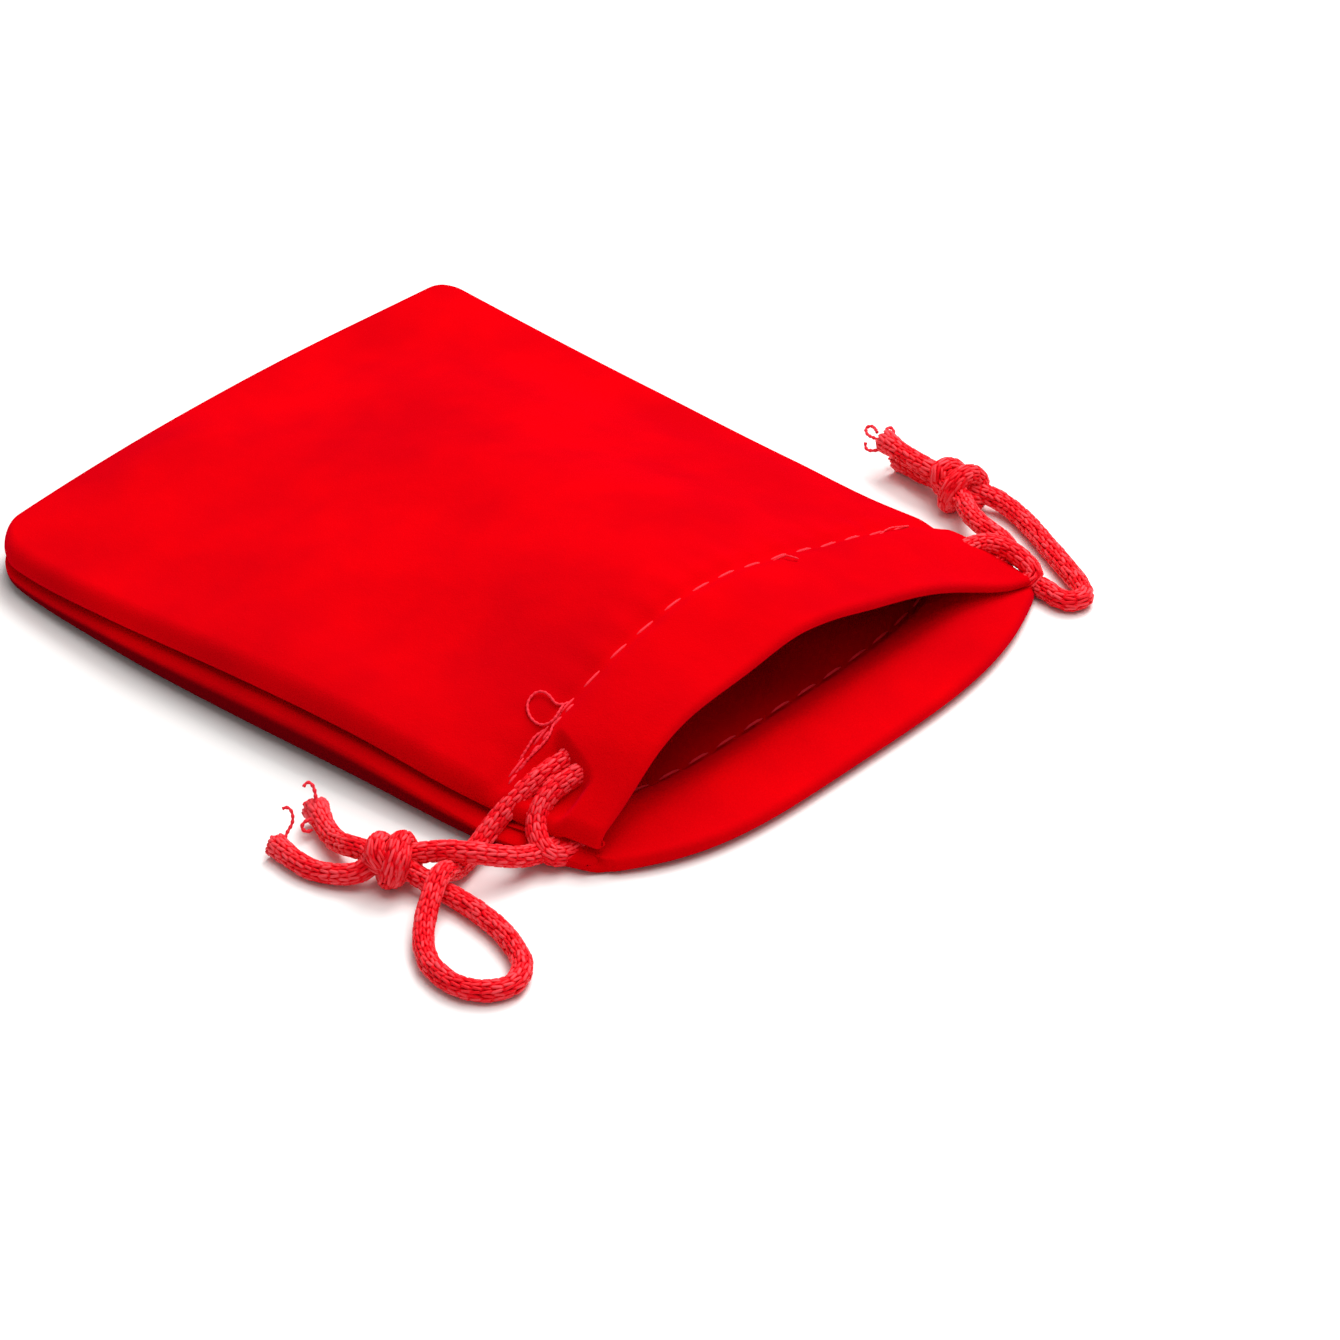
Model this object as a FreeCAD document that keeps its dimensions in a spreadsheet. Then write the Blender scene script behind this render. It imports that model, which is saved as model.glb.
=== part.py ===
"""A velvet drawstring gift pouch, lying on its back with its mouth open, in millimetres.

Frame: the origin is the middle of the resting face; +X runs across the pouch, +Y from the mouth to the
closed end, +Z up. The mouth is at -Y. The near string leaves at -X and the far string at +X.

The pouch is two velvet panels, sewn together down both sides and across the closed end with the seam
allowance turned inside. At the mouth each panel is turned in and stitched down, which makes a channel.
Each string runs through both channels, turns at the far end and has its two ends knotted together.
"""

import math
import os

import FreeCAD
import Part
import Sketcher

Vector = FreeCAD.Vector
doc = FreeCAD.newDocument("drawstring_pouch")

# ---------------------------------------------------------------- driving dimensions
SIZES = [
    ("panel_width", 96, "across the two side seams, with the mouth open"),
    ("panel_length", 120, "mouth rim to closed end"),
    ("lip_reach", 9, "middle of the back panel's rim, beyond the side seams and the front rim"),
    ("corner_radius", 8, "closed-end corners, seen from above"),
    ("cloth", 1, "velvet with its pile"),
    ("seam_height", 4.5, "side seams above the resting face"),
    ("mouth_crown", 19, "top of the open mouth"),
    ("middle_crown", 15.5, "top of the pouch at its middle"),
    ("foot_crown", 12.5, "top of the pouch before its closed end"),
    ("end_crown", 6, "top of the closed end itself"),
    ("side_curl", 4, "outside radius along the lower edges"),
    ("allowance", 6, "width of the seam allowance turned inside"),
    ("hem_depth", 20, "mouth rim to hem stitches"),
    ("cord_diameter", 3, "knitted cord"),
    ("channel_clearance", 0.3, "between a cord and the channel, each side"),
    ("lining_width", 68, "length of the turned-in cloth across the pouch"),
    ("slit_clearance", 1.2, "slit, past the outer cords"),
    ("first_cord", 15.5, "near string in the front channel, from the rim"),
    ("cord_spacing", 5.5, "from one cord to the next"),
    ("exit_bend", 24, "radius of a cord where it leaves the front channel"),
    ("thread", 0.5, "sewing thread"),
    ("stitch_length", 2.4, "one stitch"),
    ("stitch_pitch", 3.2, "stitch to stitch"),
    ("knot_length", 10.4, "along the strands"),
    ("knot_width", 9.6, "across the strands"),
    ("knot_height", 8.6, "off the table"),
]

sheet = doc.addObject("Spreadsheet::Sheet", "sizes")
for row, (alias, value, note) in enumerate(SIZES, start=1):
    sheet.set(f"A{row}", alias)
    sheet.set(f"B{row}", str(value))
    sheet.set(f"C{row}", note)
    sheet.setAlias(f"B{row}", alias)
doc.recompute()


def size(alias):
    """A driving dimension, read from the sheet."""
    return float(sheet.get(alias))


HALF_WIDTH = "sizes.panel_width / 2"
HALF_LENGTH = "sizes.panel_length / 2"
CHANNEL = "(sizes.cord_diameter + 2 * sizes.channel_clearance)"
LINING_DEPTH = f"(2 * sizes.cloth + {CHANNEL})"
STITCH_ROW = f"(sizes.hem_depth - {HALF_LENGTH})"

half_width = size("panel_width") / 2
half_length = size("panel_length") / 2
cloth = size("cloth")
seam_height = size("seam_height")
cord_diameter = size("cord_diameter")
stitch_row = size("hem_depth") - half_length
cord_depth = cloth + size("channel_clearance") + cord_diameter / 2
lining_half = size("lining_width") / 2


def arch_radius(half_chord, rise):
    """Radius of the arc that spans twice half_chord and rises that much."""
    return (half_chord**2 + rise**2) / (2 * rise)


mouth_radius = arch_radius(half_width, size("mouth_crown") - seam_height)
mouth_axis = size("mouth_crown") - mouth_radius
MOUTH_RISE = "(sizes.mouth_crown - sizes.seam_height)"
MOUTH_RADIUS = f"((({HALF_WIDTH})^2 + {MOUTH_RISE}^2) / (2 * {MOUTH_RISE}))"


# ---------------------------------------------------------------- helpers
def bound(obj, **expressions):
    """Binds properties of obj to the sheet; a double underscore in a name stands for a dot."""
    for name, expression in expressions.items():
        obj.setExpression(name.replace("__", "."), str(expression))
    return obj


def box(name, x, y, z, size_x, size_y, size_z):
    """A Part::Box whose corner and sides are expressions."""
    made = doc.addObject("Part::Box", name)
    return bound(
        made,
        Placement__Base__x=x,
        Placement__Base__y=y,
        Placement__Base__z=z,
        Length=size_x,
        Width=size_y,
        Height=size_z,
    )


def cylinder_along_y(name, radius, y, length):
    """A Part::Cylinder about the mouth's arch axis, which lies along Y."""
    made = doc.addObject("Part::Cylinder", name)
    made.Placement.Rotation = FreeCAD.Rotation(Vector(1, 0, 0), -90)
    return bound(
        made,
        Radius=radius,
        Height=length,
        Placement__Base__y=y,
        Placement__Base__z=f"sizes.mouth_crown - {MOUTH_RADIUS}",
    )


def boolean(kind, name, *operands):
    """A Part::Cut of two operands, or a Part::MultiFuse or Part::MultiCommon of several."""
    made = doc.addObject(f"Part::{kind}", name)
    if kind == "Cut":
        made.Base, made.Tool = operands
    else:
        made.Shapes = list(operands)
    return made


def arch_section(name, y, half_chord, base, crown):
    """A sketch across the pouch at y: an arc over a straight chord. All sizes are expressions."""
    sketch = doc.addObject("Sketcher::SketchObject", name)
    sketch.Placement.Rotation = FreeCAD.Rotation(Vector(1, 0, 0), 90)
    sketch.setExpression("Placement.Base.y", y)
    half_span, low, high = (sketch.evalExpression(text) for text in (half_chord, base, crown))
    left, top, right = Vector(-half_span, low, 0), Vector(0, high, 0), Vector(half_span, low, 0)
    arc = sketch.addGeometry(Part.Arc(right, top, left))
    chord = sketch.addGeometry(Part.LineSegment(left, right))
    sketch.addConstraint(Sketcher.Constraint("Coincident", arc, 1, chord, 2))
    sketch.addConstraint(Sketcher.Constraint("Coincident", arc, 2, chord, 1))
    sketch.addConstraint(Sketcher.Constraint("Horizontal", chord))
    rise = f"(({crown}) - ({base}))"
    values = {
        "half_chord": ("DistanceX", -1, 1, chord, 2, half_span, half_chord),
        "chord": ("DistanceX", chord, 1, chord, 2, 2 * half_span, f"2 * ({half_chord})"),
        "base": ("DistanceY", -1, 1, chord, 1, low, base),
    }
    for label, (kind, *where, start, expression) in values.items():
        index = sketch.addConstraint(Sketcher.Constraint(kind, *where, start))
        sketch.renameConstraint(index, label)
        sketch.setExpression(f"Constraints.{label}", expression)
    index = sketch.addConstraint(Sketcher.Constraint("Radius", arc, arch_radius(half_span, high - low)))
    sketch.renameConstraint(index, "radius")
    sketch.setExpression("Constraints.radius", f"(({half_chord})^2 + {rise}^2) / (2 * {rise})")
    return sketch


def crown_loft(name, inset):
    """The space under the front panel, from the hem stitches to the closed end, less inset all round."""
    corner_start = f"({HALF_LENGTH} - sizes.corner_radius)"
    stations = [
        (STITCH_ROW, "1", "sizes.mouth_crown"),
        (f"{STITCH_ROW} / 8", "1", "sizes.middle_crown"),
        (corner_start, "1", "sizes.foot_crown"),
        (f"({HALF_LENGTH} - 0.4 * sizes.corner_radius)", "0.8", "(sizes.foot_crown + sizes.end_crown) / 2"),
        (HALF_LENGTH, "0", "sizes.end_crown"),
    ]
    sections = []
    for number, (y, along, crown) in enumerate(stations):
        last = number == len(stations) - 1
        narrowing = f"sizes.corner_radius * (1 - {along})"
        sections.append(
            arch_section(
                f"{name}_section_{number}",
                f"{y} - {inset}" if last else y,
                f"{HALF_WIDTH} - {narrowing} - {inset}",
                "sizes.seam_height",
                f"{crown} - {inset} / 2" if last else f"{crown} - {inset}",
            )
        )
    loft = doc.addObject("Part::Loft", name)
    loft.Sections = sections
    loft.Solid = True
    loft.Ruled = True
    return loft


# ---------------------------------------------------------------- front panel
front_outside = boolean(
    "MultiFuse",
    "front_outside",
    crown_loft("front_outer", "0"),
    boolean(
        "MultiCommon",
        "front_mouth_outer",
        cylinder_along_y("mouth_outer_arch", MOUTH_RADIUS, f"-{HALF_LENGTH}", "sizes.hem_depth"),
        box(
            "mouth_block",
            f"-{HALF_WIDTH}",
            f"-{HALF_LENGTH}",
            "sizes.seam_height",
            "sizes.panel_width",
            "sizes.hem_depth",
            "sizes.mouth_crown",
        ),
    ),
)
front_inside = boolean(
    "MultiFuse",
    "front_inside",
    crown_loft("front_inner", "sizes.cloth"),
    boolean(
        "MultiCommon",
        "front_mouth_inner",
        cylinder_along_y(
            "mouth_inner_arch", f"{MOUTH_RADIUS} - sizes.cloth", f"-{HALF_LENGTH}", "sizes.hem_depth"
        ),
        box(
            "mouth_space",
            f"-{HALF_WIDTH}",
            f"-{HALF_LENGTH}",
            "sizes.seam_height",
            "sizes.panel_width",
            "sizes.hem_depth",
            "sizes.mouth_crown",
        ),
    ),
)
front_shell = boolean("Cut", "front_shell", front_outside, front_inside)

# The seam allowance is a flat strip inside, at the seam's height, from the hem stitches to the closed end.
ALLOWANCE_LENGTH = "(sizes.panel_length - sizes.hem_depth)"
INNER_ALLOWANCE = "(sizes.cloth + sizes.allowance)"


def allowance_strip(name, around, low):
    """What of the solid `around` lies in the seam allowance's strip, one cloth thick from low upwards."""
    strip = box(
        f"{name}_block",
        f"-{HALF_WIDTH}",
        STITCH_ROW,
        low,
        "sizes.panel_width",
        ALLOWANCE_LENGTH,
        "sizes.cloth",
    )
    opening = box(
        f"{name}_opening",
        f"{INNER_ALLOWANCE} - {HALF_WIDTH}",
        STITCH_ROW,
        low,
        f"sizes.panel_width - 2 * {INNER_ALLOWANCE}",
        f"{ALLOWANCE_LENGTH} - {INNER_ALLOWANCE}",
        "sizes.cloth",
    )
    return boolean(
        "Cut", name, boolean("MultiCommon", f"{name}_outline", around, strip), opening
    )


front_allowance = allowance_strip("front_allowance", front_outside, "sizes.seam_height")

# The hem's turned-in cloth hangs below the outer cloth, and the channel is the room between them.
front_lining = boolean(
    "MultiCommon",
    "front_lining",
    boolean(
        "Cut",
        "front_lining_arch",
        cylinder_along_y("lining_outer", MOUTH_RADIUS, f"-{HALF_LENGTH}", "sizes.hem_depth"),
        cylinder_along_y(
            "lining_inner", f"{MOUTH_RADIUS} - {LINING_DEPTH}", f"-{HALF_LENGTH}", "sizes.hem_depth"
        ),
    ),
    box(
        "front_lining_block",
        "-sizes.lining_width / 2",
        f"-{HALF_LENGTH}",
        "0",
        "sizes.lining_width",
        "sizes.hem_depth",
        "2 * sizes.mouth_crown",
    ),
)
CHANNEL_WIDTH = "(sizes.hem_depth - 2 * sizes.cloth)"
front_channel = boolean(
    "Cut",
    "front_channel",
    cylinder_along_y(
        "channel_outer", f"{MOUTH_RADIUS} - sizes.cloth", f"sizes.cloth - {HALF_LENGTH}", CHANNEL_WIDTH
    ),
    cylinder_along_y(
        "channel_inner",
        f"{MOUTH_RADIUS} - sizes.cloth - {CHANNEL}",
        f"sizes.cloth - {HALF_LENGTH}",
        CHANNEL_WIDTH,
    ),
)
SLIT_START = "(sizes.lining_width / 2 + sizes.cloth)"
SLIT_REACH = f"({HALF_WIDTH} - {SLIT_START} + sizes.cloth)"
SLIT_LOW = (
    "(sizes.first_cord - sizes.cord_spacing - sizes.cord_diameter / 2"
    f" - sizes.slit_clearance - {HALF_LENGTH})"
)
SLIT_WIDTH = "(sizes.cord_spacing + sizes.cord_diameter + 2 * sizes.slit_clearance)"
near_slit = box(
    "near_slit",
    f"-{SLIT_START} - {SLIT_REACH}",
    SLIT_LOW,
    "sizes.seam_height - sizes.cloth",
    SLIT_REACH,
    SLIT_WIDTH,
    "sizes.mouth_crown",
)
far_slit = box(
    "far_slit",
    SLIT_START,
    SLIT_LOW,
    "sizes.seam_height - sizes.cloth",
    SLIT_REACH,
    SLIT_WIDTH,
    "sizes.mouth_crown",
)
front_panel = boolean(
    "Cut",
    "front_panel",
    boolean("MultiFuse", "front_cloth", front_shell, front_allowance, front_lining),
    boolean("MultiFuse", "front_openings", front_channel, near_slit, far_slit),
)

# ---------------------------------------------------------------- back panel
LIP = f"({HALF_LENGTH} + sizes.lip_reach)"
LIP_RADIUS = f"((({HALF_WIDTH})^2 + sizes.lip_reach^2) / (2 * sizes.lip_reach))"


def lip_disc(name, inset):
    """A thick disc whose rim is the back panel's lip less inset: an arc from side seam to side seam."""
    disc = doc.addObject("Part::Cylinder", name)
    return bound(
        disc,
        Radius=f"{LIP_RADIUS} - {inset}",
        Height="2 * sizes.seam_height",
        Placement__Base__y=f"{LIP_RADIUS} - {LIP}",
    )


def rounded_plan(name, inset, low, height, curl):
    """A body: the pouch's plan less inset, padded up from low, its lower edges curled but at the mouth."""
    body = doc.addObject("PartDesign::Body", name)
    plane = next(f for f in body.Origin.OriginFeatures if f.Role == "XY_Plane")
    sketch = body.newObject("Sketcher::SketchObject", f"{name}_plan")
    sketch.AttachmentSupport = (plane, [""])
    sketch.MapMode = "FlatFace"
    sketch.setExpression("AttachmentOffset.Base.z", low)
    side, end, corner = 40.0, 50.0, 6.0
    points = [
        Vector(-side, -end, 0),
        Vector(side, -end, 0),
        Vector(side, end - corner, 0),
        Vector(side - corner, end, 0),
        Vector(corner - side, end, 0),
        Vector(-side, end - corner, 0),
    ]
    mouth = sketch.addGeometry(Part.LineSegment(points[0], points[1]))
    far_side = sketch.addGeometry(Part.LineSegment(points[1], points[2]))
    bend = math.sqrt(0.5) * corner
    far_middle = Vector(side - corner + bend, end - corner + bend, 0)
    near_middle = Vector(-far_middle.x, far_middle.y, 0)
    far_corner = sketch.addGeometry(Part.Arc(points[2], far_middle, points[3]))
    closed_end = sketch.addGeometry(Part.LineSegment(points[3], points[4]))
    near_corner = sketch.addGeometry(Part.Arc(points[4], near_middle, points[5]))
    near_side = sketch.addGeometry(Part.LineSegment(points[5], points[0]))

    def constrain(*words, label=None, expression=None):
        index = sketch.addConstraint(Sketcher.Constraint(*words))
        if label:
            sketch.renameConstraint(index, label)
            sketch.setExpression(f"Constraints.{label}", expression)

    constrain("Coincident", mouth, 2, far_side, 1)
    constrain("Coincident", near_side, 2, mouth, 1)
    constrain("Tangent", far_side, 2, far_corner, 1)
    constrain("Tangent", far_corner, 2, closed_end, 1)
    constrain("Tangent", closed_end, 2, near_corner, 1)
    constrain("Tangent", near_corner, 2, near_side, 1)
    constrain("Horizontal", mouth)
    constrain("Horizontal", closed_end)
    constrain("Vertical", far_side)
    constrain("Vertical", near_side)
    constrain("Equal", far_corner, near_corner)
    wide = f"{HALF_WIDTH} - {inset}"
    constrain("DistanceX", -1, 1, mouth, 2, side, label="half_width", expression=wide)
    constrain("DistanceX", mouth, 1, mouth, 2, 2 * side, label="width", expression=f"2 * ({wide})")
    constrain("DistanceY", mouth, 1, -1, 1, end, label="to_mouth", expression=LIP)
    constrain("DistanceY", -1, 1, closed_end, 1, end, label="to_end", expression=f"{HALF_LENGTH} - {inset}")
    constrain(
        "Radius", far_corner, corner, label="corner", expression=f"sizes.corner_radius - {inset}"
    )
    pad = body.newObject("PartDesign::Pad", f"{name}_pad")
    pad.Profile = sketch
    pad.setExpression("Length", height)
    doc.recompute()
    bottom = pad.Shape.BoundBox.ZMin
    mouth_y = pad.Shape.BoundBox.YMin
    curled = [
        f"Edge{number}"
        for number, edge in enumerate(pad.Shape.Edges, start=1)
        if edge.BoundBox.ZMax - bottom < 1e-6 and edge.BoundBox.YMax - mouth_y > 1e-6
    ]
    fillet = body.newObject("PartDesign::Fillet", f"{name}_curl")
    fillet.Base = (pad, curled)
    fillet.setExpression("Radius", curl)
    body.Tip = fillet
    doc.recompute()
    return body


back_outside = rounded_plan("back_outside", "0", "0", "sizes.seam_height", "sizes.side_curl")
back_inside = rounded_plan(
    "back_inside", "sizes.cloth", "sizes.cloth", "sizes.seam_height", "sizes.side_curl - sizes.cloth"
)
back_shell = boolean("Cut", "back_shell", back_outside, back_inside)
back_allowance = allowance_strip("back_allowance", back_outside, "sizes.seam_height - sizes.cloth")
back_lining = box(
    "back_lining",
    "-sizes.lining_width / 2",
    f"-{LIP}",
    "0",
    "sizes.lining_width",
    "sizes.hem_depth + sizes.lip_reach",
    LINING_DEPTH,
)
back_channel = boolean(
    "MultiCommon",
    "back_channel",
    box(
        "back_channel_block",
        f"-{HALF_WIDTH} - sizes.cloth",
        f"-{LIP}",
        "sizes.cloth",
        "sizes.panel_width + 2 * sizes.cloth",
        "sizes.hem_depth + sizes.lip_reach - sizes.cloth",
        CHANNEL,
    ),
    lip_disc("channel_disc", "sizes.cloth"),
)
back_panel = boolean(
    "Cut",
    "back_panel",
    boolean(
        "MultiCommon",
        "back_cloth",
        boolean("MultiFuse", "back_uncut", back_shell, back_allowance, back_lining),
        lip_disc("lip_disc", "0"),
    ),
    back_channel,
)


# ---------------------------------------------------------------- stitches
def stitch(middle, along):
    """One stitch: a thread-thick rod that lies along the seam, with its middle at that point."""
    length, radius = size("stitch_length"), size("thread") / 2
    return Part.makeCylinder(radius, length, middle - along * (length / 2), along)


def stitch_places(start, end):
    """Distances of stitches at the sheet's pitch, centred between start and end."""
    count = int((end - start - size("stitch_length")) // size("stitch_pitch")) + 1
    first = (start + end) / 2 - (count - 1) * size("stitch_pitch") / 2
    return [first + number * size("stitch_pitch") for number in range(count)]


def feature(name, shape):
    """A Part::Feature that holds a shape worked out from the sheet's sizes."""
    made = doc.addObject("Part::Feature", name)
    made.Shape = shape
    return made


thread_radius = size("thread") / 2
seam_line = half_width - cloth - size("allowance") / 2
closed_line = half_length - cloth - size("allowance") / 2
allowance_underside = seam_height - cloth - thread_radius


def side_stitches(name, x):
    """The seam down one side: stitches under the two allowances."""
    places = stitch_places(stitch_row, closed_line)
    rods = [stitch(Vector(x, y, allowance_underside), Vector(0, 1, 0)) for y in places]
    return feature(name, Part.makeCompound(rods))


near_side_stitches = side_stitches("near_side_stitches", -seam_line)
far_side_stitches = side_stitches("far_side_stitches", seam_line)
closed_end_stitches = feature(
    "closed_end_stitches",
    Part.makeCompound(
        [
            stitch(Vector(x, closed_line, allowance_underside), Vector(1, 0, 0))
            for x in stitch_places(-seam_line + cloth, seam_line - cloth)
        ]
    ),
)


def front_hem_row():
    """Stitches on top of the front panel, over the arch, just inside the channel's wall."""
    radius = mouth_radius + thread_radius
    y = stitch_row - cloth / 2
    half_angle = math.asin(half_width / mouth_radius)
    rods = []
    for arc_place in stitch_places(-mouth_radius * half_angle, mouth_radius * half_angle):
        angle = arc_place / mouth_radius
        middle = Vector(radius * math.sin(angle), y, mouth_axis + radius * math.cos(angle))
        rods.append(stitch(middle, Vector(math.cos(angle), 0, -math.sin(angle))))
    return Part.makeCompound(rods)


front_hem_stitches = feature("front_hem_stitches", front_hem_row())
lining_top = 2 * cloth + cord_diameter + 2 * size("channel_clearance")
back_hem_stitches = feature(
    "back_hem_stitches",
    Part.makeCompound(
        [
            stitch(Vector(x, stitch_row - cloth / 2, lining_top + thread_radius), Vector(1, 0, 0))
            for x in stitch_places(-lining_half, lining_half)
        ]
    ),
)


# ---------------------------------------------------------------- strings
def path_through(points):
    """Straight runs between the points, joined by tangent arcs that take 0.45 of the shorter run."""
    edges, radii = [], []
    last = points[0]
    for before, corner, after in zip(points, points[1:], points[2:]):
        into, out = corner - before, after - corner
        take = 0.45 * min(into.Length, out.Length)
        start = corner - into.normalize() * take
        end = corner + out.normalize() * take
        half_turn = into.getAngle(out) / 2
        radius = take / math.tan(half_turn)
        radii.append(radius)
        to_centre = (out - into).normalize()
        middle = corner + to_centre * (radius * (1 / math.cos(half_turn) - 1))
        if (start - last).Length > 1e-6:
            edges.append(Part.LineSegment(last, start).toShape())
        edges.append(Part.Arc(start, middle, end).toShape())
        last = end
    edges.append(Part.LineSegment(last, points[-1]).toShape())
    return Part.Wire(edges), radii


def tube(name, wire):
    """A round cord along a wire, with its volume compared with its section times its length."""
    first = wire.OrderedEdges[0]
    start = first.valueAt(first.FirstParameter)
    along = first.tangentAt(first.FirstParameter)
    ring = Part.Wire([Part.makeCircle(cord_diameter / 2, start, along)])
    solid = wire.makePipeShell([ring], True, False)
    expected = math.pi * cord_diameter**2 / 4 * wire.Length
    if abs(solid.Volume / expected - 1) > 0.01:
        raise ValueError(f"{name}: its volume is {solid.Volume:.1f} and not {expected:.1f}")
    return solid


corners = {
    "near": Vector(-half_width, -half_length, 0),
    "far": Vector(half_width, -half_length, 0),
}


def corner_of(name):
    """The mouth's corner on the side that the node's name starts with."""
    return corners[name.split("_")[0]]


def cord_end(name, points):
    """A free end of a string, through points counted from its corner; prints its length and bends."""
    wire, radii = path_through([corner_of(name) + Vector(*point) for point in points])
    print(name, "length", round(wire.Length, 1), "radii", [round(r, 1) for r in radii])
    return feature(name, tube(name, wire))


front_cord_y = {
    "near": size("first_cord") - half_length,
    "far": size("first_cord") - size("cord_spacing") - half_length,
}
back_cord_y = {side: y - size("cord_spacing") for side, y in front_cord_y.items()}
back_cord_z = cord_depth
cord_arch = mouth_radius - cord_depth
lining_angle = math.asin(lining_half / cord_arch)
lining_edge_z = mouth_axis + cord_arch * math.cos(lining_angle)
front_exit_z = lining_edge_z - size("exit_bend") * (1 - math.cos(lining_angle))
front_level_x = lining_half + size("exit_bend") * math.sin(lining_angle)


def front_leg(y):
    """A cord in the front channel: over the arch, then bent level at each end, out to the side seams."""
    bend = size("exit_bend")
    half_angle = lining_angle / 2

    def level_bend(side):
        """Middle of the bend between the arch and the level run, on that side."""
        x = front_level_x - bend * math.sin(half_angle)
        return Vector(side * x, y, front_exit_z + bend * (1 - math.cos(half_angle)))

    corners = [Vector(side * lining_half, y, lining_edge_z) for side in (-1, 1)]
    levels = [Vector(side * front_level_x, y, front_exit_z) for side in (-1, 1)]
    ends = [Vector(side * half_width, y, front_exit_z) for side in (-1, 1)]
    return Part.Wire(
        [
            Part.LineSegment(ends[0], levels[0]).toShape(),
            Part.Arc(levels[0], level_bend(-1), corners[0]).toShape(),
            Part.Arc(corners[0], Vector(0, y, mouth_axis + cord_arch), corners[1]).toShape(),
            Part.Arc(corners[1], level_bend(1), levels[1]).toShape(),
            Part.LineSegment(levels[1], ends[1]).toShape(),
        ]
    )


def channel_legs(side):
    """The two lengths of one string that lie in the front and back channels."""
    y = back_cord_y[side]
    back = Part.Wire(
        [Part.LineSegment(Vector(-half_width, y, back_cord_z), Vector(half_width, y, back_cord_z)).toShape()]
    )
    name = f"{side}_string_channel_legs"
    solids = [tube(name, front_leg(front_cord_y[side])), tube(name, back)]
    return feature(name, Part.makeCompound(solids))


def return_bend(side, outward):
    """The half turn outside the slit, where a string goes from the front channel to the back one."""
    front = Vector(outward * half_width, front_cord_y[side], front_exit_z)
    back = Vector(outward * half_width, back_cord_y[side], back_cord_z)
    middle = (front + back) / 2 + Vector(outward * (front - back).Length / 2, 0, 0)
    name = f"{side}_string_return_bend"
    return feature(name, tube(name, Part.Wire([Part.Arc(front, middle, back).toShape()])))


def knot(name, centre, heading):
    """An overhand knot's outer shape: an ellipsoid whose long axis points along heading, in degrees."""
    made = doc.addObject("Part::Ellipsoid", name)
    place = corner_of(name) + Vector(*centre)
    made.Placement = FreeCAD.Placement(place, FreeCAD.Rotation(Vector(0, 0, 1), heading))
    made.Angle1, made.Angle2, made.Angle3 = -90, 90, 360
    return bound(
        made,
        Radius1="sizes.knot_height / 2",
        Radius2="sizes.knot_length / 2",
        Radius3="sizes.knot_width / 2",
    )


near_string_channel_legs = channel_legs("near")
far_string_channel_legs = channel_legs("far")
near_string_return_bend = return_bend("near", 1)
far_string_return_bend = return_bend("far", -1)

# The free ends lie on the table. Their routes are points set by hand, from the slit outwards, and each
# point is counted from the mouth's corner on that side, at table height.
near_front_exit = (0, front_cord_y["near"] + half_length, front_exit_z)
near_back_exit = (0, back_cord_y["near"] + half_length, back_cord_z)
far_front_exit = (0, front_cord_y["far"] + half_length, front_exit_z)
far_back_exit = (0, back_cord_y["far"] + half_length, back_cord_z)


def out_from(place, reach):
    """The point straight out from a slit's side seam by reach, along X."""
    return (place[0] + reach, place[1], place[2])


near_string_front_end = cord_end(
    "near_string_front_end",
    [
        near_front_exit,
        out_from(near_front_exit, -4),
        (-7.6, 15.1, 3.6),
        (-11, 14.1, 1.6),
        (-14.4, 12.9, 2.6),
        (-17.4, 11.6, 5),
        (-20.8, 10.2, 4.9),
        (-25, 8, 2.7),
        (-29.3, 4.4, 1.6),
        (-32.3, -1, 1.65),
        (-32.2, -7.2, 1.6),
        (-28, -11.2, 1.65),
        (-23, -9.6, 1.6),
        (-20, -4.4, 1.65),
        (-18.4, 1.4, 1.6),
        (-17.8, 7.2, 1.65),
        (-18.1, 11.8, 1.6),
        (-19, 15.6, 2.8),
    ],
)
near_string_back_end = cord_end(
    "near_string_back_end",
    [
        near_back_exit,
        out_from(near_back_exit, -3.2),
        (-6.8, 11.4, 4.5),
        (-10.2, 13.2, 6),
        (-13.6, 15.1, 6),
        (-16.6, 16.8, 5.4),
    ],
)
near_string_knot = knot("near_string_knot", (-19.6, 18.8, 4.3), 132)
near_string_front_tail = cord_end(
    "near_string_front_tail",
    [(-22.9, 21.1, 3.4), (-24.9, 23.8, 2.1), (-26.6, 27.3, 1.6), (-27.2, 31.3, 1.65), (-26.2, 36.6, 1.6)],
)
near_string_back_tail = cord_end(
    "near_string_back_tail",
    [(-20.4, 22.4, 5.2), (-21, 25.6, 4.3), (-20.6, 29.3, 2.6), (-19.3, 33.1, 1.8), (-17, 37.6, 2)],
)

far_string_front_end = cord_end(
    "far_string_front_end",
    [far_front_exit, out_from(far_front_exit, 3.6), (7.4, 11.2, 7), (9.6, 14.4, 5.7), (10.7, 18.2, 4.9)],
)
far_string_back_end = cord_end(
    "far_string_back_end",
    [
        far_back_exit,
        out_from(far_back_exit, 3.4),
        (4.6, 0.6, 1.9),
        (4.2, -3, 1.65),
        (3.6, -6.8, 1.6),
        (5.8, -9.8, 1.65),
        (9, -8.4, 1.6),
        (10.4, -3.8, 1.65),
        (11.9, 1.6, 1.6),
        (13.9, 7, 1.65),
        (15.4, 12.4, 1.7),
        (15.2, 16.2, 2.7),
        (14, 19.4, 3.6),
    ],
)
far_string_knot = knot("far_string_knot", (12, 22.4, 4.3), 96)
far_string_front_tail = cord_end(
    "far_string_front_tail",
    [(11.3, 26.4, 5.4), (11.4, 30, 5.5), (11.8, 33.8, 5.4), (12.6, 38.4, 5.6)],
)
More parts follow.
